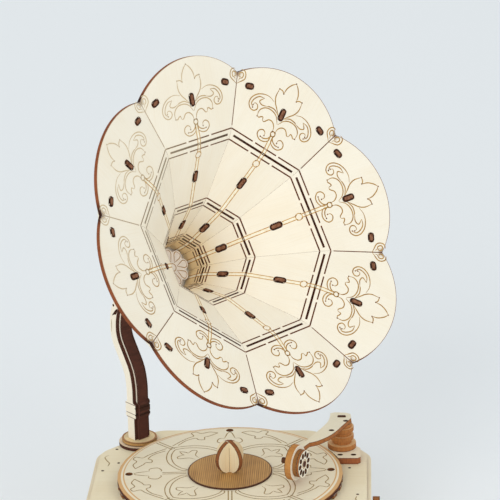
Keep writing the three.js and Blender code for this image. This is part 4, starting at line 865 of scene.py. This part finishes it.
def burn_slits(faint, deep):
    for slit in slit_rows():
        work, margin = (deep, MIDDLE_BURN) if slit[3] else (faint, SLIT_BURN)
        work.frame(slit_outline(slit, margin), slit_outline(slit))


def burn_seams(work):
    """A browned line along a petal's seams and its round rim."""
    steps = 12
    for side in (-1, 1):
        pairs = []
        for i in range(steps + 1):
            s = LEG_STARTS[3] + (NOTCH_S - LEG_STARTS[3]) * i / steps
            edge = side * leaf_half(s)
            pairs.append((Vector((s, edge - side * SEAM_LINE)), Vector((s, edge))))
        work.strip(pairs)
    work.strip([(Vector(a), Vector(b)) for a, b in zip(petal_arc(SEAM_LINE), petal_arc())])


def burn_backs(work):
    """Behind the slits the laser's burn shows as one dark stroke."""
    for slit in slit_rows():
        work.patch(slit_outline(slit, SLIT_BURN))


def slot_outline(tenon, margin):
    centre, length, turn = tenon
    corner = TENON_CORNER + max(0.0, margin)
    return rounded_slot(centre, length + 2 * margin, RIB_SHEET + 2 * margin, turn, corner)


def cap_tenons(plates, cores):
    """A browned plate on every tenon's end, with a skirt down its sides and a paler middle."""
    top = -TENON_PROUD - LINE_LIFT
    for tenon in tenon_ends():
        outline = slot_outline(tenon, CAP_MARGIN)
        plates.patch([(s, t, top) for s, t in outline])
        plates.strip([(Vector((s, t, CAP_SKIRT)), Vector((s, t, top))) for s, t in outline], closed=True)
    for centre, length, turn in tenon_ends():
        cores.patch(rounded_slot(centre, length - CAP_BORDER, RIB_SHEET - CAP_BORDER, turn, CAP_CORNER))


def leaf_face(k, depth=-LINE_LIFT):
    return lambda point: on_leaf(k, point.x, point.y, depth)


def horn_engraving(line_paint, rod_paint, fill_paint, brown, char, slit_brown, slit_char):
    """Everything that the laser drew or browned on the eight leaves."""
    lines, rods, fills, faint, deep, frames, backs, caps, cores = (Engraving() for _ in range(9))
    for k in range(HORN_LEAVES):
        for work in (lines, rods, faint, deep, frames):
            work.surface = leaf_face(k)
        fills.surface = leaf_face(k, -LINE_LIFT / 2)
        engrave_petal(lines, faint)
        engrave_rod(rods, fills)
        burn_slits(faint, deep)
        burn_seams(faint)
        for tenon in tenon_ends():
            frames.frame(slot_outline(tenon, SLOT_CLEARANCE + SLOT_BURN), slot_outline(tenon, SLOT_CLEARANCE))
        caps.surface = lambda point, k=k: on_leaf(k, point.x, point.y, point.z)
        cores.surface = leaf_face(k, -TENON_PROUD - 2 * LINE_LIFT)
        cap_tenons(caps, cores)
        backs.surface = leaf_face(k, SHEET + LINE_LIFT)
        burn_backs(backs)
    lines.piece("petal_lines", line_paint, "horn", "burnt_edge")
    rods.piece("leaf_middle_lines", rod_paint, "horn", "burnt_edge")
    fills.piece("leaf_middle_bands", fill_paint, "horn", "birch_inner")
    faint.piece("slit_burns", slit_brown, "horn", "burnt_edge")
    backs.piece("slit_backs", char, "horn", "dark_edge")
    deep.piece("deep_burns", slit_char, "horn", "dark_edge")
    frames.piece("slot_burns", char, "horn", "dark_edge")
    caps.piece("tenon_caps", char, "horn", "dark_edge")
    cores.piece("tenon_cores", brown, "horn", "burnt_edge")


TEARDROP_SHARES = [(0.28, 0.0), (0.5, 0.1), (0.72, 0.19), (0.87, 0.14), (0.91, 0.0)]


def rosette_engraving(paint):
    """A teardrop loop on each lobe of the throat's rosette."""
    work = Engraving(lambda p: HORN_PLACE @ Vector((p.x, p.y, LINE_LIFT - ROSETTE_DEPTH)))
    for i in range(8):
        turn = Matrix.Rotation(math.radians(45 * i), 2)
        for side in (-1, 1):
            work.line([turn @ Vector((x * ROSETTE_RADIUS, side * y * ROSETTE_RADIUS))
                       for x, y in TEARDROP_SHARES], FINE_LINE)
    work.circle((0, 0), 0.2 * ROSETTE_RADIUS, 0.5)
    work.piece("rosette_lines", paint, "horn", "burnt_edge")


# Disc: polar places are degrees from an axis and a radius, the others lie along and across an axis

DISC_TURN = math.radians(3.1)
AXIS_LINE = (24.6, 38.2)
DIAGONAL_LINE = (46.0, 59.3)
ARCH_OUTER = [(8.0, 24.4), (6.8, 27.3), (13.0, 32.2), (20.2, 37.1), (28.1, 41.1), (35.8, 44.3), (41.2, 46.2),
              (45.0, 47.4)]
ARCH_INNER = [(10.2, 24.3), (13.4, 28.6), (21.1, 33.9), (30.3, 38.7), (37.1, 41.8), (41.7, 43.4),
              (45.0, 44.4)]
FLEUR_LOBE = [(2.9, 26.4), (5.1, 30.7), (12.1, 34.8), (9.3, 36.8), (6.0, 36.3), (2.5, 35.5)]
FLEUR_TIP = [(2.5, 35.5), (2.2, 37.6), (0.0, 41.0)]
CROSS = [(7.3, 54.1), (13.7, 50.8), (17.0, 50.1), (18.3, 47.1), (22.1, 48.2), (23.2, 50.8), (30.4, 50.4),
         (38.8, 47.8)]
CROSS_BACK = [(42.2, 49.4), (34.4, 51.1), (27.5, 53.0), (22.9, 54.2), (22.7, 58.3), (19.5, 58.7),
              (17.2, 55.7), (12.0, 56.4), (7.3, 54.1)]
AXIS_BRACKET = [(45.6, 3.1), (45.7, 5.6), (43.5, 7.0), (40.6, 7.0), (38.7, 4.0), (39.2, 2.3)]
AXIS_DROP = [(45.7, 3.1), (52.5, 1.4), (54.5, 0.0)]
DISC_LINE = 0.6
AXIS_WIDTH = 0.64


def on_disc(radius, degrees):
    return turned_step(radius, DISC_TURN + math.radians(degrees))


def along_disc(axis, along, across):
    return Matrix.Rotation(DISC_TURN + math.radians(axis), 2) @ Vector((along, across))


def disc_engraving(paint):
    """The disc's ornament, the same in each quarter."""
    work = Engraving(lambda point: Vector((point.x, point.y, PLATTER_TOP + LINE_LIFT)))
    for quarter in range(4):
        axis = 90 * quarter
        for side in (-1, 1):
            for stroke in (ARCH_OUTER, ARCH_INNER, CROSS, CROSS_BACK):
                row = [on_disc(radius, axis + side * angle) for angle, radius in stroke]
                work.line(row, DISC_LINE, taper=False)
            for stroke in (FLEUR_LOBE, FLEUR_TIP):
                work.line([on_disc(radius, axis + 45 + side * angle) for angle, radius in stroke], DISC_LINE)
            for stroke in (AXIS_BRACKET, AXIS_DROP):
                work.line([along_disc(axis, along, side * across) for along, across in stroke], AXIS_WIDTH)
            for turn, ends in ((0, AXIS_LINE), (45, DIAGONAL_LINE)):
                row = [along_disc(axis + turn, along, side) for along in ends]
                work.line(row, AXIS_WIDTH, taper=False, smooth=False)
    work.piece("disc_lines", paint, "platter", "burnt_edge")


# Marks on the other pieces

LID_SCROLL = [(-72.3, 34.5), (-74.2, 31.8), (-73.4, 28.5), (-71.6, 25.0), (-70.9, 23.4), (-71.2, 20.9),
              (-71.5, 19.5)]
LID_DOTS = [(-68.4, 42.7), (-65.6, 23.9), (-73.8, 13.4), (67.3, 17.4), (72.0, -17.2)]
LID_DOT_RADIUS = 0.85
ARM_MARKS = [(65.2, 32.2), (57.2, 19.1)]
PIN_MARK = (1.6, 1.25)
BRACKET_MARKS = [(61.9, 26.9), (69.5, 26.9)]
BRACKET_TOP = 55.9
FINIAL_JOINT = [(0.2, 0.3), (8.7, 0.36), (14.5, 0.22)]
CHEEK_DOT = (-12.2, 79.2)
CHEEK_DOT_RADIUS = 0.8
CHEEK_SLOT = [(-14.0, 72.3), (-11.7, 73.6), (-9.98, 74.05), (-8.86, 76.3), (-8.2, 78.2), (-9.4, 77.6),
              (-10.9, 76.4), (-12.8, 74.0)]
CHEEK_ARC = [(-14.4, 70.1), (-14.55, 66.0), (-14.7, 61.9)]
ARM_PLACE = Matrix.Translation((*PIVOT, PLATTER_TOP)) @ Matrix.Rotation(ARM_TURN, 4, "Z")
SOUNDBOX = (ARM_PLACE @ Matrix.Translation(SOUNDBOX_PLACE) @ Matrix.Rotation(SOUNDBOX_TURN, 4, "Z")
            @ Matrix.Rotation(math.radians(-90), 4, "X"))
POST_PLACE = Matrix.Translation((FOOT_X, FOOT_Y, PLATTER_TOP)) @ Matrix.Rotation(POST_TURN, 4, "Z")


def ellipse(centre, long_radius, short_radius, turn, steps=16):
    """An ellipse whose long radius points at the given angle."""
    points = []
    for i in range(steps):
        angle = 2 * math.pi * i / steps
        points.append(Vector(centre) + Matrix.Rotation(turn, 2)
                      @ Vector((long_radius * math.cos(angle), short_radius * math.sin(angle))))
    return points


CORE_HALF = 3.5
POST_EDGE = 0.7
POST_FRONT_LOW, POST_FRONT_HIGH = 20.0, 88.0
POST_MIDDLE = [(20.0, 0.5), (32.0, 0.4), (41.0, -1.5), (50.0, -6.5), (58.0, -11.0), (66.0, -12.3),
               (90.0, -11.0)]


def post_middle(height):
    """How far the middle of the post stands from its foot's axis at a height."""
    for (low, start), (high, end) in zip(POST_MIDDLE, POST_MIDDLE[1:]):
        if height <= high:
            return start + (end - start) * (height - low) / (high - low)
    return POST_MIDDLE[-1][1]


def lid_marks(paint, char):
    lines = Engraving(lambda p: Vector((p.x, p.y, LID_TOP + LINE_LIFT)))
    for sign in (1, -1):
        lines.line([(sign * x, sign * y) for x, y in LID_SCROLL])
    lines.piece("lid_lines", paint, "case", "burnt_edge")
    dots = Engraving(lines.surface)
    for place in LID_DOTS:
        dots.dot(place, LID_DOT_RADIUS)
    dots.piece("lid_dots", char, "case", "dark_edge")


def post_marks(paint, char):
    for side, name in ((-1, "left"), (1, "right")):
        offset = side * (POST_HALF_THICKNESS + LINE_LIFT)
        dark = Engraving(lambda p, offset=offset: POST_PLACE @ Vector((p.x, offset, p.y)))
        dark.dot(CHEEK_DOT, CHEEK_DOT_RADIUS)
        dark.patch(CHEEK_SLOT)
        dark.piece(f"cheek_marks_{name}", char, "horn", "dark_edge")
        thin = Engraving(dark.surface)
        thin.line(CHEEK_ARC, THIN_LINE)
        thin.piece(f"cheek_line_{name}", paint, "horn", "burnt_edge")


def front_row(name, depth, inset):
    """A row along the front of one of the post's sheets, as far in from its edge as the inset."""
    to_post = POST_PLACE.inverted()
    front = {}
    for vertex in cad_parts[name].data.vertices:
        corner = to_post @ (vertex.co / MM)
        if abs(abs(corner.y) - depth) < 0.01 and POST_FRONT_LOW < corner.z < POST_FRONT_HIGH:
            level = round(corner.z, 1)
            front[level] = max(front.get(level, corner.x), corner.x)
    return [(x - inset, z) for z, x in sorted(front.items()) if x > post_middle(z)]


def post_edges(paint):
    """The brown of the sheets' fronts reaches round onto their faces."""
    for name, depth, sides in (("post_core", CORE_HALF, (-1, 1)),
                               ("post_cheek_left", POST_HALF_THICKNESS, (-1,)),
                               ("post_cheek_right", POST_HALF_THICKNESS, (1,))):
        row = front_row(name, depth, POST_EDGE / 2)
        for side in sides:
            work = Engraving(lambda p, y=side * (depth + LINE_LIFT): POST_PLACE @ Vector((p.x, y, p.y)))
            work.line(row, POST_EDGE, taper=False, smooth=False)
            work.piece(f"{name}_edge_{side + 2}", paint, "horn", "dark_edge")


def soundbox_marks(paint, char):
    halos = Engraving(lambda p: SOUNDBOX @ Vector((p.x, p.y, GRILLE_FACE + LINE_LIFT)))
    for i in range(GRILLE_HOLES):
        angle = 2 * math.pi * i / GRILLE_HOLES
        centre = turned_step(GRILLE_CIRCLE, angle)
        outer, inner, hole = (GRILLE_HOLE_RADIUS + more for more in (HALO_LONG, HALO_SHORT, -HALO_INSET))
        halos.frame(ellipse(centre, outer, inner, angle, 12), ellipse(centre, hole, hole, angle, 12))
    halos.piece("grille_halos", char, "tonearm", "dark_edge")
    lines = Engraving(halos.surface)
    lines.circle((0, 0), GRILLE_RING, FINE_LINE)
    lines.piece("grille_line", paint, "tonearm", "burnt_edge")


def arm_marks(char):
    """Ends of pins that come through the arm and its bracket."""
    for name, places, height, body in (("arm_marks", ARM_MARKS, PLATTER_TOP + ARM_TOP, "tonearm"),
                                       ("bracket_marks", BRACKET_MARKS, BRACKET_TOP, "case")):
        work = Engraving(lambda p, z=height + LINE_LIFT: Vector((p.x, p.y, z)))
        for centre in places:
            work.patch(ellipse(centre, *PIN_MARK, 0.0))
        work.piece(name, char, body, "dark_edge")


def finial_joints(char):
    """The dark line in each corner where the finial's two blades meet."""
    work = Engraving(lambda p: p)
    reach = RIB_SHEET / 2 * math.sqrt(2) + 2 * LINE_LIFT
    for quarter in range(4):
        turn = Matrix.Rotation(math.radians(90 * quarter), 3, "Z")
        work.strip([[turn @ Vector((reach, side * half, LABEL_TOP + z)) for side in (-1, 1)]
                    for z, half in FINIAL_JOINT])
    work.piece("finial_joints", char, "platter", "dark_edge")


# Walls: a double line near the edges and a small lily, a guess in the style of the horn

WALL_LILY = [(0.0, 8.2), (1.5, 5.6), (2.6, 3.4), (1.7, 1.2), (0.9, 0.0)]
WALL_LEAF = [(0.9, 0.0), (3.0, 1.4), (5.6, 1.8), (6.6, 4.2), (5.2, 5.4), (4.2, 4.4)]
WALL_FOOT = [(0.9, 0.0), (2.6, -1.8), (2.4, -3.6), (1.2, -4.2)]
WALL_LINE = 0.5
WALL_BORDER = (6.0, 8.0)
WALL_LOW, WALL_HIGH = 3.0, 48.0


def wall_engraving(paint):
    """The border and the lily on the outer face of every wall."""
    work = Engraving()
    for name in WALLS:
        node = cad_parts[name]
        normal = plate_normal(node)
        corners = [v.co / MM for v in node.data.vertices]
        middle = sum(corners, Vector()) / len(corners)
        if middle.dot(normal) < 0:
            normal = -normal
        across = Z_AXIS.cross(normal)
        face = max(c.dot(normal) for c in corners) + LINE_LIFT
        reach = [c.dot(across) for c in corners]
        half = (max(reach) - min(reach)) / 2
        centre = across * (max(reach) + min(reach)) / 2 + Z_AXIS * (WALL_LOW + WALL_HIGH) / 2

        def surface(p, normal=normal, across=across, face=face, centre=centre):
            return normal * face + across * p.x + Z_AXIS * p.y + centre

        work.surface = surface
        for margin in WALL_BORDER:
            x, y = half - margin, (WALL_HIGH - WALL_LOW) / 2 - margin
            work.line([(-x, -y), (x, -y), (x, y), (-x, y)], FINE_LINE, closed=True, smooth=False)
        for side in (-1, 1):
            for stroke in (WALL_LILY, WALL_LEAF, WALL_FOOT):
                work.line([(side * x, y) for x, y in stroke], WALL_LINE)
    work.piece("wall_lines", paint, "case", "burnt_edge")


# Finishes of the solids' own nodes

def plate_normal(node):
    """The direction that most of a node's surface faces."""
    areas = {}
    for polygon in node.data.polygons:
        n = polygon.normal
        if n.z < -1e-3 or (abs(n.z) <= 1e-3 and (n.y < -1e-3 or (abs(n.y) <= 1e-3 and n.x < 0))):
            n = -n
        key = tuple(round(c, 2) for c in n)
        areas[key] = areas.get(key, 0.0) + polygon.area
    return Vector(max(areas, key=areas.get)).normalized()


def finish(name, paint):
    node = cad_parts[name]
    if node.data.materials:
        node.data.materials[0] = paint
    else:
        node.data.materials.append(paint)


def sheet_finish(name, grain, **looks):
    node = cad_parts[name]
    normal = plate_normal(node)
    depths = [v.co.dot(normal) / MM for v in node.data.vertices]
    finish(name, cut_sheet(f"{name}_sheet", normal, grain, low=min(depths), high=max(depths), **looks))


WALLS = ["wall_right", "corner_panel_1", "wall_back", "corner_panel_2",
         "wall_left", "corner_panel_3", "wall_front", "corner_panel_4"]
FLAT_SHEETS = ["base_floor", "platter_rim", "peg_wheel", "spindle_footstep", "shaft_hanger"]
STANDING_GRAIN = Z_AXIS + X_AXIS * 0.1
SOUNDBOX_GRAIN = X_AXIS + Z_AXIS * 0.1
DARK = {"tint": EDGE_DARK, "shade": CHAR, "fleck": CHAR, "edge": POST_BROWN, "edge_dark": CHAR}
LID = {"tint": srgb(240, 227, 196), "shade": srgb(230, 212, 174), "fleck": srgb(216, 192, 148)}
RIB = {"edge": srgb(120, 68, 40), "edge_dark": CHAR}
FINIAL = {"tint": srgb(244, 228, 194), "shade": srgb(228, 200, 152),
          "edge": srgb(160, 98, 54), "edge_dark": srgb(86, 46, 28)}
COLLAR = {"edge": ORANGE_EDGE, "edge_dark": srgb(160, 92, 44)}
GRILLE = {"edge": srgb(176, 112, 58), "edge_dark": srgb(118, 66, 34)}
ARM = {"tint": srgb(243, 233, 208), "shade": srgb(234, 218, 184),
       "edge": srgb(186, 118, 64), "edge_dark": srgb(122, 68, 38)}
COLUMN = {"tint": srgb(230, 192, 140), "shade": srgb(206, 156, 100),
          "edge": srgb(198, 130, 70), "edge_dark": srgb(128, 74, 40)}
BRACKET = {"tint": srgb(242, 230, 204), "shade": srgb(232, 214, 178),
           "edge": srgb(176, 104, 62), "edge_dark": srgb(112, 58, 36)}
ROSETTE = {"tint": srgb(255, 246, 236), "shade": srgb(252, 238, 222), "edge": RIM_BROWN}
DISC = {"tint": srgb(239, 228, 203), "shade": srgb(230, 214, 182), "fleck": srgb(222, 200, 160),
        "edge": srgb(170, 108, 58), "burn_colour": srgb(212, 162, 100)}
SWIVEL_RING = {"tint": srgb(232, 208, 162), "shade": srgb(216, 184, 132), "edge": srgb(200, 156, 96),
               "edge_dark": srgb(158, 108, 60), "burn_colour": srgb(160, 104, 58)}
FOOT_RING = {"tint": srgb(236, 214, 184), "shade": srgb(222, 192, 156), "edge": POST_BROWN,
             "edge_dark": CHAR}
LABEL_BIRCH = {"tint": LABEL, "shade": srgb(150, 104, 56), "fleck": srgb(120, 80, 44), "fineness": 1.3,
               "edge": EDGE_DARK, "edge_dark": CHAR, "burn_colour": srgb(84, 48, 28)}
DISC_BURNS = [(59.8, 60.3), (61.7, PLATTER_RADIUS)]
SWIVEL_BURNS = [(9.2, 10.4)]

# Heights on the post's foot, and how each brown fades there and on the soundbox's collar
POST_BANDS = [(13.6, 15.8), (16.9, 20.8)]
POST_FADE = 0.4
POST_LEVELS = (12.4, 15.0, 20.9)
POST_LINE = (0.12, 0.4)
CORE_FADE = (21.0, 23.0)
COLLAR_FADE = (8.0, 8.8)


def post_burns(place):
    """Two bands across the front of the post's foot that are burnt nearly black."""
    height = place.dot(Z_AXIS) - PLATTER_TOP
    lower, upper = (height.rise(low, low + POST_FADE) * (1 - height.rise(high, high + POST_FADE))
                    for low, high in POST_BANDS)
    return lower.most(upper) * 0.8


def post_lines(place):
    """Thin browned lines across the faces at the mouldings of the post's foot."""
    height = place.dot(Z_AXIS) - PLATTER_TOP
    low, middle, high = (1 - abs(height - level).rise(*POST_LINE) for level in POST_LEVELS)
    return low.most(middle).most(high) * 0.7


def core_burns(place):
    """Below the mouldings the core's faces are as brown as its front."""
    return post_lines(place).most(1 - (place.dot(Z_AXIS) - PLATTER_TOP).rise(*CORE_FADE))


def collar_burns(place):
    """The soundbox's collar is browner than its ring."""
    centre = SOUNDBOX.translation
    axis = (SOUNDBOX.to_3x3() @ Z_AXIS).normalized()
    return (1 - distance_from_line(place, centre, axis).rise(*COLLAR_FADE)) * 0.45


def label_burns(place):
    """The label's dark rim and its fine upright stripes."""
    stripes = (place.dot(X_AXIS) * (2 * math.pi / LABEL_STRIPE)).sine().rise(-0.2, 1.0)
    patches = place.noise(0.09, 2.0, 0.5).rise(0.35, 0.65)
    rim = ring_burns(0.0, 0.0, [(LABEL_RADIUS - LABEL_RIM, LABEL_RADIUS)])
    return (stripes * (patches * 0.35 + 0.25)).most(rim(place))


def dress_nodes():
    """The finish of every node that the solids keep."""
    for name in WALLS:
        sheet_finish(name, Vector((1, 1, 0)) if "corner" in name else X_AXIS + Y_AXIS)
    for name in FLAT_SHEETS:
        sheet_finish(name, X_AXIS)
    for name in ("top_moulding", "base_top"):
        sheet_finish(name, X_AXIS, **LID)
    for name, burns in (("post_cheek_left", post_lines), ("post_cheek_right", post_lines),
                        ("post_core", core_burns)):
        sheet_finish(name, Z_AXIS, edge=POST_BROWN, edge_dark=CHAR, burns=burns, burn_colour=POST_BROWN,
                     edge_burns=post_burns)
    for name in ("crank_arm", "crank_pinion", "horn_hub", "shaft_bush", "crank_knob"):
        sheet_finish(name, STANDING_GRAIN)
    for name in ("finial_blade_1", "finial_blade_2"):
        sheet_finish(name, Z_AXIS, **FINIAL)
    sheet_finish("soundbox_body", SOUNDBOX_GRAIN, edge_burns=collar_burns, **COLLAR)
    sheet_finish("soundbox_grille", SOUNDBOX_GRAIN, **GRILLE)
    sheet_finish("tonearm_arm", X_AXIS + Y_AXIS, **ARM)
    sheet_finish("tonearm_column", X_AXIS, **COLUMN)
    sheet_finish("tonearm_bracket", X_AXIS, **BRACKET)
    for name in ("tonearm_pin", "soundbox_axle", "platter_ring"):
        sheet_finish(name, STANDING_GRAIN, **DARK)
    sheet_finish("throat_rosette", X_AXIS, **ROSETTE)
    sheet_finish("platter_disc", X_AXIS, burns=ring_burns(0.0, 0.0, DISC_BURNS), **DISC)
    sheet_finish("swivel_ring", X_AXIS, burns=ring_burns(FOOT_X, FOOT_Y, SWIVEL_BURNS), **SWIVEL_RING)
    sheet_finish("foot_ring", X_AXIS, **FOOT_RING)
    for k in range(HORN_LEAVES):
        turn = leaf_place(k).to_3x3()
        finish(f"horn_rib_{k + 1}", cut_sheet(f"rib_{k + 1}_sheet", turn @ Y_AXIS, turn @ X_AXIS, **RIB))
    sheet_finish("label_disc", Y_AXIS, burns=label_burns, **LABEL_BIRCH)
    steel = metal("steel", srgb(190, 192, 196), 0.28)
    brass = metal("brass", srgb(214, 178, 96), 0.25)
    for name in ("movement_frame", "comb", "platter_spindle", "knob_pin"):
        finish(name, steel)
    for name in ("crank_shaft", "music_drum"):
        finish(name, brass)


# Floor, lights and camera

CAMERA_AZIMUTH = math.radians(3.088)
CAMERA_ELEVATION = math.radians(19.842)
CAMERA_ROLL = math.radians(-1.3155)
CAMERA_PLACE = Vector((78.22, -1231.75, 637.47))
FOCAL_PIXELS = 2405.08
IMAGE_PIXELS = 500
CENTRE_X = 245.65
CENTRE_Y = 247.47
SENSOR = 36.0
FLOOR_SIZE = 9.0
FLOOR_GAP = 0.05
SKY = srgb(232, 238, 242)
SKY_STRENGTH = 0.86


def set_camera():
    azimuth, elevation = CAMERA_AZIMUTH, CAMERA_ELEVATION
    back = Vector((math.sin(azimuth) * math.cos(elevation), -math.cos(azimuth) * math.cos(elevation),
                   math.sin(elevation)))
    right = (-back).cross(Z_AXIS).normalized()
    up = right.cross(-back)
    c, s = math.cos(CAMERA_ROLL), math.sin(CAMERA_ROLL)
    rows = (right * c + up * s, right * -s + up * c, back)
    camera = bpy.data.objects.new("camera", bpy.data.cameras.new("camera"))
    bpy.context.scene.collection.objects.link(camera)
    camera.matrix_world = Matrix.Translation(CAMERA_PLACE * MM) @ Matrix(rows).transposed().to_4x4()
    camera.data.sensor_width = SENSOR
    camera.data.lens = SENSOR * FOCAL_PIXELS / IMAGE_PIXELS
    camera.data.shift_x = (IMAGE_PIXELS / 2 - CENTRE_X) / IMAGE_PIXELS
    camera.data.shift_y = (CENTRE_Y - IMAGE_PIXELS / 2) / IMAGE_PIXELS
    camera.data.clip_end = 20.0
    bpy.context.scene.camera = camera


def lamp(name, place, aim, size, power):
    data = bpy.data.lights.new(name, "AREA")
    data.shape = "DISK"
    data.size = size
    data.energy = power
    made = bpy.data.objects.new(name, data)
    bpy.context.scene.collection.objects.link(made)
    made.location = place
    made.rotation_euler = (Vector(aim) - Vector(place)).to_track_quat("-Z", "Y").to_euler()


def set_stage():
    floor_paint = material("floor_paper", lambda start: {
        "Base Color": srgb(242, 243, 243), "Roughness": 0.95, "Specular IOR Level": 0.1})
    half = FLOOR_SIZE / 2 / MM
    corners = [(-half, -half), (half, -half), (half, half), (-half, half)]
    floor = mesh_piece("floor", [(x, y, -FLOOR_GAP) for x, y in corners], [(0, 1, 2, 3)], [floor_paint])
    lamp("key_lamp", (-0.7, -2.1, 1.5), aim=(0.0, 0.0, 0.17), size=1.3, power=17)
    lamp("bell_lamp", (1.15, -1.13, 1.08), aim=(0.0, 0.0, 0.19), size=0.6, power=3.2)
    lamp("back_lamp", (-0.2, 2.0, 1.6), aim=(0.0, 0.0, 0.17), size=1.2, power=4)
    world = bpy.data.worlds.new("studio")
    world.use_nodes = True
    background = world.node_tree.nodes["Background"]
    background.inputs["Color"].default_value = SKY
    background.inputs["Strength"].default_value = SKY_STRENGTH
    bpy.context.scene.world = world
    bpy.context.scene.view_settings.view_transform = "Standard"


LINE_PAINT = line_burn("engraved_line", ENGRAVED, srgb(152, 106, 50), 0.72)
PALE_PAINT = line_burn("pale_line", PALE_LINE, srgb(140, 112, 70))
ROD_PAINT = line_burn("middle_line", ROD_LINE, srgb(184, 128, 66))
FILL_PAINT = line_burn("middle_band", ROD_FILL, srgb(246, 231, 196))
BROWN_PAINT = line_burn("brown_burn", TENON_BROWN, srgb(104, 62, 42))
CHAR_PAINT = line_burn("char_burn", srgb(72, 42, 28), srgb(44, 24, 16))
SLIT_PAINT = line_burn("slit_brown", srgb(138, 80, 48), srgb(94, 50, 28), 0.72)
DEEP_PAINT = line_burn("slit_char", srgb(86, 44, 26), srgb(50, 25, 14), 0.72)

dress_nodes()
horn_leaves(leaf_sheet(), leaf_cut(), CHAR_PAINT)
horn_clips()
horn_engraving(LINE_PAINT, ROD_PAINT, FILL_PAINT, BROWN_PAINT, CHAR_PAINT, SLIT_PAINT, DEEP_PAINT)
rosette_engraving(LINE_PAINT)
disc_engraving(PALE_PAINT)
lid_marks(PALE_PAINT, CHAR_PAINT)
post_marks(PALE_PAINT, CHAR_PAINT)
post_edges(line_burn("post_burn", POST_BROWN, srgb(70, 42, 32)))
soundbox_marks(LINE_PAINT, CHAR_PAINT)
arm_marks(CHAR_PAINT)
finial_joints(CHAR_PAINT)
wall_engraving(LINE_PAINT)
set_camera()
set_stage()
